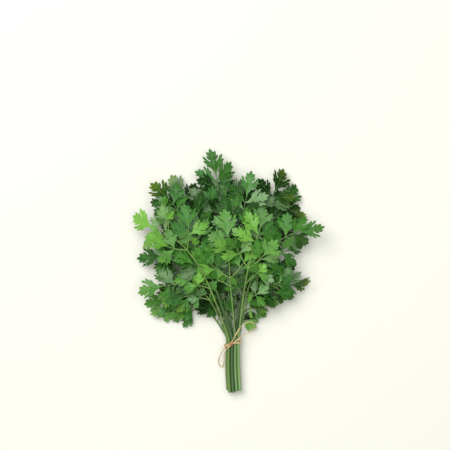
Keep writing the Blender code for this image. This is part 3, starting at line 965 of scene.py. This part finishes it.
# The stalks
# Solid, juicy leaf stalks of about 3 mm, ribbed along their length, pale and waxy near the cut
# and deeper green where they thin out into the forks. The cut ends are pale, with a soft pith.
STALK_RIBS = 10
STALK_POINTS = 20
RIB_DEPTH = 0.05
STALK_STEPS = 6
WAVE_ROUGHNESS = 0.4
SLIM_LENGTH = 22 * MM
SLIM_SHARE = 0.4
FINE_SIDE_RADII = (0.62 * MM, 0.58 * MM, 0.42 * MM)
STALK_PALE = (0.230, 0.430, 0.130, 1)
STALK_OLIVE = (0.150, 0.270, 0.030, 1)
STALK_DEEP = (0.018, 0.095, 0.018, 1)
STALK_FORK = (0.250, 0.440, 0.080, 1)
STALK_CUT = (0.420, 0.560, 0.260, 1)
DEEP_TONE = 0.45
STALK_ROUGHNESS = 0.4
# Where the stalks begin to take the colour of the forks, and where they have it
FORK_COLOUR_Y = (34 * MM, 80 * MM)
# How much of that colour pale and deep stalks take
FORK_SHARE = (1.6, 0.15)
STRIPE_SHARE = 0.22
CLOUD_NOISE = (120, 3)
CLOUD_SHARE = 0.3
STALK_NOISE = (700, 3)
STALK_BUMP = (0.3, 0.2 * MM)
CAP_LEAN = -0.9
CAP_CORNERS = 8
CAP_MARGIN = 1 * MM
CAP_RIM = 0.3 * MM
CAP_HOLLOW = 0.25 * MM


def make_stalk_material():
    material, tree, shader = new_material("parsley_stalk", STALK_ROUGHNESS)
    tone = attribute(tree, "tone")
    green = three_tones(tree, tone, STALK_OLIVE, STALK_DEEP, STALK_PALE, DEEP_TONE)
    _, along, _ = split(tree, add_node(tree, "ShaderNodeTexCoord").outputs["Object"])
    inputs = {0: along, 1: FORK_COLOUR_Y[0], 2: FORK_COLOUR_Y[1], 3: 0.0, 4: 1.0}
    upper = add_node(tree, "ShaderNodeMapRange", inputs).outputs[0]
    away_from_deep = math_node(tree, "ABSOLUTE", math_node(tree, "SUBTRACT", tone, DEEP_TONE))
    pale = scaled(tree, away_from_deep, *FORK_SHARE, clamp=True)
    colour = mix_colours(tree, times(tree, upper, pale), green, STALK_FORK)
    stripes = times(tree, attribute(tree, "rib"), STRIPE_SHARE)
    colour = mix_colours(tree, stripes, colour, STALK_CUT)
    cloud = times(tree, noise(tree, *CLOUD_NOISE), CLOUD_SHARE)
    colour = mix_colours(tree, cloud, colour, STALK_DEEP)
    colour = mix_colours(tree, attribute(tree, "cut_end"), colour, STALK_CUT)
    tree.links.new(colour, shader.inputs["Base Color"])
    add_bump(tree, shader, *STALK_BUMP, noise(tree, *STALK_NOISE))
    return material


stalk_material = make_stalk_material()


def named(tree, name, kind="FLOAT"):
    """The value of a named attribute in a geometry tree."""
    node = add_node(tree, "GeometryNodeInputNamedAttribute", {"Name": name}, data_type=kind)
    return node.outputs[0]


def new_geometry_tree(name, sockets):
    """A geometry tree with its named inputs; gives the tree, what it is given, and its result."""
    tree = bpy.data.node_groups.new(name, "GeometryNodeTree")
    tree.interface.new_socket("Geometry", in_out="INPUT", socket_type="NodeSocketGeometry")
    tree.interface.new_socket("Geometry", in_out="OUTPUT", socket_type="NodeSocketGeometry")
    for socket, kind in sockets:
        tree.interface.new_socket(socket, in_out="INPUT", socket_type="NodeSocket" + kind)
    given = tree.nodes.new("NodeGroupInput").outputs
    return tree, given, tree.nodes.new("NodeGroupOutput").inputs[0]


def position(tree):
    return tree.nodes.new("GeometryNodeInputPosition").outputs[0]


def moved(tree, shape, way, vector):
    """The shape with each point at a new Position, or shifted by an Offset."""
    return add_node(tree, "GeometryNodeSetPosition", {"Geometry": shape, way: vector}).outputs[0]


def stored(tree, shape, name, value, kind="FLOAT", domain="POINT"):
    """The shape with a value stored on it as a named attribute."""
    inputs = {"Geometry": shape, "Name": name, "Value": value}
    settings = {"data_type": kind, "domain": domain}
    return add_node(tree, "GeometryNodeStoreNamedAttribute", inputs, **settings).outputs[0]


def stretched(tree, vector, factor):
    inputs = {0: vector, "Scale": factor}
    return add_node(tree, "ShaderNodeVectorMath", inputs, operation="SCALE").outputs[0]


def smooth_lines(tree, guide, steps):
    """The guide object's lines as smooth curves through their points."""
    lines = {"Curve": add_node(tree, "GeometryNodeObjectInfo", {"Object": guide}).outputs["Geometry"]}
    smooth = add_node(tree, "GeometryNodeCurveSplineType", lines, spline_type="CATMULL_ROM")
    inputs = {"Geometry": smooth.outputs[0], "Resolution": steps}
    return add_node(tree, "GeometryNodeSetSplineResolution", inputs).outputs[0]


def swept(tree, lines, profile):
    """The profile swept along the lines, as large as each point's own radius."""
    radius = tree.nodes.new("GeometryNodeInputRadius").outputs[0]
    inputs = {"Curve": lines, "Profile Curve": profile, "Scale": radius, "Fill Caps": True}
    return add_node(tree, "GeometryNodeCurveToMesh", inputs).outputs[0]


def realized(tree, shape):
    return add_node(tree, "GeometryNodeRealizeInstances", {"Geometry": shape}).outputs[0]


def with_material(tree, shape, material, chosen=True):
    inputs = {"Geometry": shape, "Selection": chosen, "Material": material}
    return add_node(tree, "GeometryNodeSetMaterial", inputs).outputs[0]


def stalk_profile(tree, ribs, points, depth):
    """A round profile of radius 1 with lengthwise ribs, which carries how high each point is."""
    circle = add_node(tree, "GeometryNodeCurvePrimitiveCircle", {"Resolution": points, "Radius": 1.0})
    index = tree.nodes.new("GeometryNodeInputIndex").outputs[0]
    angle = times(tree, math_node(tree, "DIVIDE", index, points), math.tau)
    wave = math_node(tree, "COSINE", times(tree, angle, ribs))
    swell = scaled(tree, wave, depth, math_node(tree, "SUBTRACT", 1.0, depth))
    ribbed = stretched(tree, position(tree), swell)
    profile = moved(tree, circle.outputs["Curve"], "Position", ribbed)
    return stored(tree, profile, "rib", scaled(tree, wave, 0.5, 0.5))


def leafy_stem_tree():
    """Stalks swept along their lines, and a blade on each leaflet point, folded and arched."""
    tree, given, result = new_geometry_tree("leafy_stem", (
        ("Stalk Lines", "Object"),
        ("Stalk Ribs", "Int"),
        ("Profile Points", "Int"),
        ("Rib Depth", "Float"),
        ("Steps", "Int"),
        ("Stalk Tone", "Float"),
        ("Blade Forms", "Collection"),
        ("Wave Height", "Float"),
        ("Waves a Metre", "Float"),
        ("Stalk Material", "Material"),
        ("Leaf Material", "Material"),
    ))
    ribs, points, depth = (given[key] for key in ("Stalk Ribs", "Profile Points", "Rib Depth"))
    lines = smooth_lines(tree, given["Stalk Lines"], given["Steps"])
    stalks = swept(tree, lines, stalk_profile(tree, ribs, points, depth))
    stalks = stored(tree, stalks, "tone", given["Stalk Tone"])

    normal = named(tree, "leaf_normal", "FLOAT_VECTOR")
    axes = {"Primary Axis": normal, "Secondary Axis": named(tree, "leaf_along", "FLOAT_VECTOR")}
    settings = {"primary_axis": "Z", "secondary_axis": "Y"}
    turn = add_node(tree, "FunctionNodeAxesToRotation", axes, **settings)
    inputs = {"Collection": given["Blade Forms"], "Separate Children": True, "Reset Children": True}
    size = named(tree, "leaf_size")
    blades = add_node(tree, "GeometryNodeInstanceOnPoints", {
        "Points": given["Geometry"],
        "Instance": add_node(tree, "GeometryNodeCollectionInfo", inputs).outputs[0],
        "Pick Instance": True,
        "Instance Index": named(tree, "leaf_form", "INT"),
        "Rotation": turn.outputs[0],
        "Scale": size,
    })
    blades = realized(tree, blades.outputs[0])
    u, v, _ = split(tree, named(tree, "blade_place", "FLOAT_VECTOR"))
    across = math_node(tree, "ABSOLUTE", u)
    folded = times(tree, across, named(tree, "leaf_fold"))
    arched = times(tree, times(tree, v, v), named(tree, "leaf_arch"))
    cupped = times(tree, times(tree, across, across), named(tree, "leaf_cup"))
    bent = math_node(tree, "ADD", math_node(tree, "SUBTRACT", folded, arched), cupped)
    inputs = {"Scale": given["Waves a Metre"], "Detail": 1.0, "Roughness": WAVE_ROUGHNESS}
    field = add_node(tree, "ShaderNodeTexNoise", inputs).outputs["Fac"]
    wave = times(tree, math_node(tree, "SUBTRACT", field, 0.5), given["Wave Height"])
    free = math_node(tree, "MINIMUM", math_node(tree, "MAXIMUM", v, 0.0), 1.0)
    lift = scaled(tree, wave, free, times(tree, bent, size))
    blades = moved(tree, blades, "Offset", stretched(tree, normal, lift))
    blades = stored(tree, blades, "leaf", True, "BOOLEAN", "FACE")

    joined = tree.nodes.new("GeometryNodeJoinGeometry")
    tree.links.new(blades, joined.inputs[0])
    tree.links.new(stalks, joined.inputs[0])
    x, y, z = split(tree, position(tree))
    inputs = {"X": x, "Y": y, "Z": math_node(tree, "MAXIMUM", z, TABLE_GAP)}
    above_table = add_node(tree, "ShaderNodeCombineXYZ", inputs).outputs[0]
    whole = realized(tree, moved(tree, joined.outputs[0], "Position", above_table))
    whole = with_material(tree, whole, given["Stalk Material"])
    whole = with_material(tree, whole, given["Leaf Material"], named(tree, "leaf", "BOOLEAN"))
    tree.links.new(whole, result)
    return tree


def lines_object(name, lines):
    """Lines as one curve object: the points and radii of each, and whether it is closed."""
    curve = bpy.data.curves.new(name, "CURVE")
    curve.dimensions = "3D"
    curve.twist_mode = "MINIMUM"
    for points, radii, closed in lines:
        spline = curve.splines.new("POLY")
        spline.points.add(len(points) - 1)
        spline.use_cyclic_u = closed
        for control, point, radius in zip(spline.points, points, radii):
            control.co = (*point, 1)
            control.radius = radius
    return in_scene(name, curve)


def points_object(name, places, values):
    """Loose points as one mesh object, with a named attribute for each kind of value."""
    mesh = bpy.data.meshes.new(name)
    mesh.from_pydata(places, [], [])
    for key, (kind, numbers) in values.items():
        layer = mesh.attributes.new(key, kind, "POINT")
        for item, number in zip(layer.data, numbers):
            if kind == "FLOAT_VECTOR":
                item.vector = number
            else:
                item.value = number
    return in_scene(name, mesh)


def grow(name, host, tree, settings, guides):
    """The tree's result on the host as a plain mesh object; the host and its guides are removed."""
    modifier = host.modifiers.new("grow", "NODES")
    modifier.node_group = tree
    for item in tree.interface.items_tree:
        if item.name in settings:
            modifier[item.identifier] = settings[item.name]
    host.update_tag()
    bpy.context.view_layer.update()
    graph = bpy.context.evaluated_depsgraph_get()
    mesh = bpy.data.meshes.new_from_object(host.evaluated_get(graph), depsgraph=graph)
    for obj in (host, *guides):
        bpy.data.objects.remove(obj, do_unlink=True)
    mesh.name = name
    return in_scene(name, mesh)


def mark_cut_end(piece):
    """Mark the faces that close the stem at its cut end, and hollow them a little."""
    shape = bmesh.new()
    shape.from_mesh(piece.data)
    mark = shape.verts.layers.float.new("cut_end")
    limit = CUT_END_Y + CUT_STAGGER + CAP_MARGIN
    caps = [face for face in shape.faces if face.normal.y < CAP_LEAN and len(face.verts) > CAP_CORNERS]
    caps = [face for face in caps if face.calc_center_median().y < limit]
    bmesh.ops.inset_region(shape, faces=caps, thickness=CAP_RIM, depth=-CAP_HOLLOW)
    for face in caps:
        for vert in face.verts:
            vert[mark] = 1.0
        for edge in face.edges:
            edge.smooth = False
    shape.to_mesh(piece.data)
    shape.free()


def slimmed(stem):
    """The stalk's radii, which fall off sooner above the tie than those of its solid."""
    radii = []
    for point, radius in zip(stem.axis, stem.radii):
        above = smooth_step((point.y - TIE_Y) / SLIM_LENGTH)
        radii.append(radius * (1 - SLIM_SHARE * above))
    return radii


stem_tree = leafy_stem_tree()
look = random.Random(SEED)
# Tones of the stalks by place in the bundle: olive at the left, deep green, pale at the right
STALK_TONES = (0.02, 0.40, 0.80, 1.0)
# The rows below the top one keep to tones near the deep green: painted shade for stalks that lie under
# the top row
INNER_STALK_PAINTED_SHADE_TONES = (0.25, 0.40, 0.45, 0.62)
# Leaf tones: where painted light at the crown's rim starts and how fast it grows, the tone of painted
# shade on the lowest layer, how much painted light the top layer adds, and a random spread
RIM_FROM = 0.75
RIM_LIGHT = 2.4
LOWEST_PAINTED_SHADE_TONE = -0.30
PAINTED_LIGHT_TONE_RISE = 1.04
TONE_SPREAD = (-0.24, 0.36)
LEAF_CUP = (-0.9, 0.5)
LEAF_REACH = 25
STALK_TONE_SPREAD = (-0.06, 0.06)
# What each leaf draws from: how cool it is, how much painted sheen it takes, and how yellow it is
COOL_CHOICES = (0, 0, 0, 0.3, 0.6)
PAINTED_SHEEN_CHOICES = (0, 0, 0, 0, 0, 0, 0, 0, 0.4, 0.8)
YELLOW_CHOICES = (0, 0, 1.2, 3.0)
WAVE_OF_LEAF = 7 * MM
LEAF_WAVES = 75.0

for stem in stems:
    lines = [(stem.axis, slimmed(stem), False)]
    lines += [(stalk, FINE_SIDE_RADII, False) for stalk in stem.side_stalks]
    lines += [(spray, radii, False) for spray, radii in stem.sprays]
    stalk_lines = lines_object(stem.name + "_lines", lines)
    # Stalks below the top row take the darker tones of painted shade
    stalk_tones = STALK_TONES if stem.row == ROW_COUNT - 1 else INNER_STALK_PAINTED_SHADE_TONES
    count = len(stem.blades)
    bases, alongs, normals, sizes, folds, arches = zip(*stem.blades)
    rims = []
    for base, along in zip(bases, alongs):
        tip = base + along * LEAF_REACH * MM
        across = (tip.x - CROWN_X) / CROWN_HALF_WIDTH
        upward = (tip.y - CROWN_Y) / CROWN_HALF_LENGTH
        rims.append(math.hypot(across, upward))
    # Painted shade and light: the tone rises with the stem's layer and towards the crown's rim, so deep
    # leaves are painted darker and open ones brighter, on top of a random spread
    height = stem.layer / (LAYERS - 1)
    tones_with_painted_shade = []
    for rim in rims:
        open_to_light = max(height, RIM_LIGHT * (rim - RIM_FROM))
        tones_with_painted_shade.append(LOWEST_PAINTED_SHADE_TONE + PAINTED_LIGHT_TONE_RISE * open_to_light + look.uniform(*TONE_SPREAD))
    cools = [look.choice(COOL_CHOICES) * max(tone, 0) for tone in tones_with_painted_shade]
    painted_sheens = [look.choice(PAINTED_SHEEN_CHOICES) for _ in range(count)]
    yellows = [max(0.0, rim - RIM_FROM) * look.choice(YELLOW_CHOICES) for rim in rims]
    forms = [look.randrange(len(LEAF_FORMS)) for _ in range(count)]
    cups = [look.uniform(*LEAF_CUP) for _ in range(count)]
    points = points_object(stem.name + "_points", bases, {
        "leaf_along": ("FLOAT_VECTOR", alongs),
        "leaf_normal": ("FLOAT_VECTOR", normals),
        "leaf_size": ("FLOAT", sizes),
        "leaf_fold": ("FLOAT", folds),
        "leaf_arch": ("FLOAT", arches),
        "leaf_cup": ("FLOAT", cups),
        "leaf_form": ("INT", forms),
        "tone": ("FLOAT", tones_with_painted_shade),
        "yellowing": ("FLOAT", yellows),
        "coolness": ("FLOAT", cools),
        "sheen": ("FLOAT", painted_sheens),
    })
    piece = grow(stem.name + "_grown", points, stem_tree, {
        "Stalk Lines": stalk_lines,
        "Stalk Ribs": STALK_RIBS,
        "Profile Points": STALK_POINTS,
        "Rib Depth": RIB_DEPTH,
        "Steps": STALK_STEPS,
        "Stalk Tone": stalk_tones[stem.place] + look.uniform(*STALK_TONE_SPREAD),
        "Blade Forms": blade_forms,
        "Wave Height": WAVE_OF_LEAF,
        "Waves a Metre": LEAF_WAVES,
        "Stalk Material": stalk_material,
        "Leaf Material": leaf_material,
    }, [stalk_lines])
    mark_cut_end(piece)
    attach(piece, "root")
    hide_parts(stem.name)

for form in list(blade_forms.objects):
    bpy.data.objects.remove(form, do_unlink=True)
bpy.data.collections.remove(blade_forms)


# The raffia tie
# One length of dry raffia, split into fine flat strands: it passes twice round the stems, is
# wrapped into a small knot on top, and ends in a bow of two loops held by that knot.
RAFFIA_RADIUS = 0.75 * MM
RAFFIA_GAP = 0.5 * MM
TURN_POINTS = 14
TURN_SHIFTS = (0.9 * MM, 0.1 * MM)
TURN_SLANTS = (0.55, 0.2)
KNOT = Vector((-3, 32.2, 17.1)) * MM
# Both loops of the bow, in mm
RIGHT_LOOP = (
    (-2.6, 33.6, 17.6),
    (2.4, 42.6, 20),
    (7.6, 51, 22.2),
    (13.6, 56, 21),
    (19.6, 56.4, 17),
    (23, 52, 13.8),
    (22, 47.6, 12.6),
    (13, 43, 15.4),
    (5.2, 38, 17.9),
    (-1.4, 31.8, 17.1),
)
LEFT_LOOP = (
    (-4.4, 32.8, 17.4),
    (-10.2, 27.4, 16.2),
    (-14.4, 20.6, 10.4),
    (-16.8, 12.6, 4.4),
    (-15.6, 7.2, 2.0),
    (-12.4, 6.8, 2.4),
    (-10.6, 11.4, 5.2),
    (-10.4, 19, 10.8),
    (-8.4, 25.6, 16.2),
    (-3.2, 30.9, 17.1),
)
# Strands in each run: how far they lie from its middle, how thick they are, and their twist
LOOP_STRANDS = ((0.04, 0.58, 0.0), (0.50, 0.20, 2.4))
TURN_STRANDS = ((0.22, 0.62, 0.0), (0.42, 0.42, 2.2), (0.46, 0.32, 4.2))
OPEN_WINDS = 0.6
STRAND_SIDES = 10
STRAND_STEPS = 6
STRAND_FLATNESS = 0.5
STRAND_TURNS = 2.5
# The knot: wraps across it, each with its lean, its place along the knot, and its swell
KNOT_CORE = (2.6, 2.1, 1.3)
KNOT_WRAPS = (
    (-0.9, -0.5, 1.0),
    (-0.5, 0.1, 1.0),
    (-0.1, 0.6, 0.9),
    (0.6, -0.2, 0.95),
    (0.9, 0.5, 0.8),
    (0.2, 0.0, 0.45),
)
KNOT_WRAP_POINTS = 12
KNOT_STRAND = 0.58 * MM
RAFFIA_ROUGHNESS = 0.6
STREAKS_A_METRE = 90.0
STREAK_SCALE = 3.0
STREAK_DETAIL = 3.0
STREAK_CONTRAST = 1.1
STRAND_TONE = (0.5, -0.1)
PATCH_NOISE = (260, 2)
PATCHES = (5.0, -2.7)
PATCH_SHARE = 0.55
RAFFIA_BUMP = (0.5, 0.15 * MM)
RAFFIA_TAN = (0.540, 0.310, 0.130, 1)
RAFFIA_CREAM = (0.920, 0.720, 0.400, 1)
RAFFIA_RUST = (0.480, 0.170, 0.045, 1)
RAFFIA_LIME = (0.720, 0.660, 0.220, 1)


def turn_line(y_shift, slant):
    """One turn drawn tight round the bundle: its hull, set out by the stems and the gap."""
    centres = []
    for row in range(ROW_COUNT):
        for place in (0, ROW_STEMS - 1):
            centres.append((slot_x(row, place), TIE_HEIGHT + row_offset(row)))
    set_out = STEM_TIE_RADIUS + RAFFIA_GAP + RAFFIA_RADIUS
    points = []
    for step in range(TURN_POINTS):
        angle = math.tau * step / TURN_POINTS
        out_x = math.cos(angle)
        out_z = math.sin(angle)
        x, z = max(centres, key=lambda centre: centre[0] * out_x + centre[1] * out_z)
        x += out_x * set_out
        z += out_z * set_out
        points.append(Vector((x, TIE_Y + y_shift + slant * (x - BUNDLE_X), z)))
    return points


def strand_along(points, away, turn_from, closed):
    """A strand beside a run, a little off its middle and winding slowly round it."""
    strand = []
    count = len(points)
    winds = 1 if closed else OPEN_WINDS
    for step, point in enumerate(points):
        after = points[(step + 1) % count] if closed or step + 1 < count else point
        before = points[step - 1] if closed or step else point
        way = (after - before).normalized()
        side = way.cross(Vector((0, 0, 1))).normalized()
        turn = turn_from + winds * math.tau * step / count
        offset = side * math.cos(turn) + way.cross(side) * math.sin(turn)
        strand.append(point + offset * away)
    return strand


def knot_wrap(lean, shift, swell):
    """One wrap of raffia round the knot's core."""
    along, across, up = Vector(KNOT_CORE) * MM * swell
    narrow = math.sqrt(1 - shift * shift)
    turn = Matrix.Rotation(lean, 3, "Z")
    wrap = []
    for step in range(KNOT_WRAP_POINTS):
        angle = math.tau * step / KNOT_WRAP_POINTS
        place = (shift * along, math.cos(angle) * across * narrow, math.sin(angle) * up * narrow)
        wrap.append(KNOT + turn @ Vector(place))
    return wrap


def tie_strands():
    """Every strand of the turns and the bow: its points, its radii, and whether it is closed."""
    runs = []
    for shift, slant in zip(TURN_SHIFTS, TURN_SLANTS):
        runs.append((turn_line(shift, slant), TURN_STRANDS, True))
    for loop in (RIGHT_LOOP, LEFT_LOOP):
        runs.append(([Vector(point) * MM for point in loop], LOOP_STRANDS, False))
    lines = []
    for points, strands, closed in runs:
        for away, radius, turn_from in strands:
            strand = strand_along(points, away * MM, turn_from, closed)
            lines.append((strand, [radius * MM] * len(strand), closed))
    return lines


def knot_strands():
    wraps = [knot_wrap(*wrap) for wrap in KNOT_WRAPS]
    return [(wrap, [KNOT_STRAND] * len(wrap), True) for wrap in wraps]


def raffia_tree():
    """Flat strands swept along their lines, each turning over now and then, with fine fibres."""
    tree, given, result = new_geometry_tree("raffia_strands", (
        ("Strand Lines", "Object"),
        ("Strand Sides", "Int"),
        ("Flatness", "Float"),
        ("Turns Over", "Float"),
        ("Steps", "Int"),
        ("Seed", "Int"),
        ("Raffia Material", "Material"),
    ))
    inputs = {"Resolution": given["Strand Sides"], "Radius": 1.0}
    circle = add_node(tree, "GeometryNodeCurvePrimitiveCircle", inputs)
    place = position(tree)
    fibres = stored(tree, circle.outputs["Curve"], "fibre", place, "FLOAT_VECTOR")
    x, y, _ = split(tree, place)
    inputs = {"X": x, "Y": times(tree, y, given["Flatness"])}
    flat = add_node(tree, "ShaderNodeCombineXYZ", inputs).outputs[0]
    profile = moved(tree, fibres, "Position", flat)

    lines = smooth_lines(tree, given["Strand Lines"], given["Steps"])
    along = tree.nodes.new("GeometryNodeSplineParameter").outputs
    tilt = times(tree, times(tree, along["Factor"], given["Turns Over"]), math.tau)
    lines = add_node(tree, "GeometryNodeSetCurveTilt", {"Curve": lines, "Tilt": tilt}).outputs[0]
    lines = stored(tree, lines, "along", along["Length"])
    inputs = {"ID": tree.nodes.new("GeometryNodeInputIndex").outputs[0], "Seed": given["Seed"]}
    tone = add_node(tree, "FunctionNodeRandomValue", inputs, data_type="FLOAT").outputs[1]
    lines = stored(tree, lines, "tone", tone, domain="CURVE")
    whole = realized(tree, swept(tree, lines, profile))
    tree.links.new(with_material(tree, whole, given["Raffia Material"]), result)
    return tree


def make_raffia_material(name, dark, pale, accent):
    """Dry palm fibre: each strand of its own tone, streaked along its length."""
    material, tree, shader = new_material(name, RAFFIA_ROUGHNESS)
    fibre = add_node(tree, "ShaderNodeAttribute", attribute_name="fibre").outputs["Vector"]
    x, y, _ = split(tree, fibre)
    inputs = {"X": x, "Y": y, "Z": times(tree, attribute(tree, "along"), STREAKS_A_METRE)}
    inputs = {
        "Vector": add_node(tree, "ShaderNodeCombineXYZ", inputs).outputs[0],
        "Scale": STREAK_SCALE,
        "Detail": STREAK_DETAIL,
        "Roughness": RAFFIA_ROUGHNESS,
    }
    streaks = add_node(tree, "ShaderNodeTexNoise", inputs).outputs["Fac"]
    tone = scaled(tree, attribute(tree, "tone"), *STRAND_TONE)
    share = math_node(tree, "ADD", times(tree, streaks, STREAK_CONTRAST), tone, clamp=True)
    colour = mix_colours(tree, share, dark, pale)
    patch = scaled(tree, noise(tree, *PATCH_NOISE), *PATCHES, clamp=True)
    colour = mix_colours(tree, times(tree, patch, PATCH_SHARE), colour, accent)
    tree.links.new(colour, shader.inputs["Base Color"])
    add_bump(tree, shader, *RAFFIA_BUMP, streaks)
    return material


strand_tree = raffia_tree()
strand_material = make_raffia_material("raffia_strand", RAFFIA_TAN, RAFFIA_CREAM, RAFFIA_LIME)
knot_material = make_raffia_material("raffia_knot", RAFFIA_RUST, RAFFIA_TAN, RAFFIA_CREAM)

for name, lines, material in (
    ("raffia_turns_and_bow", tie_strands(), strand_material),
    ("raffia_knot", knot_strands(), knot_material),
):
    strand_lines = lines_object(name + "_lines", lines)
    host = points_object(name + "_host", [KNOT], {})
    piece = grow(name, host, strand_tree, {
        "Strand Lines": strand_lines,
        "Strand Sides": STRAND_SIDES,
        "Flatness": STRAND_FLATNESS,
        "Turns Over": STRAND_TURNS,
        "Steps": STRAND_STEPS,
        "Seed": SEED,
        "Raffia Material": material,
    }, [strand_lines])
    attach(piece, "root")
    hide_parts("raffia_tie")
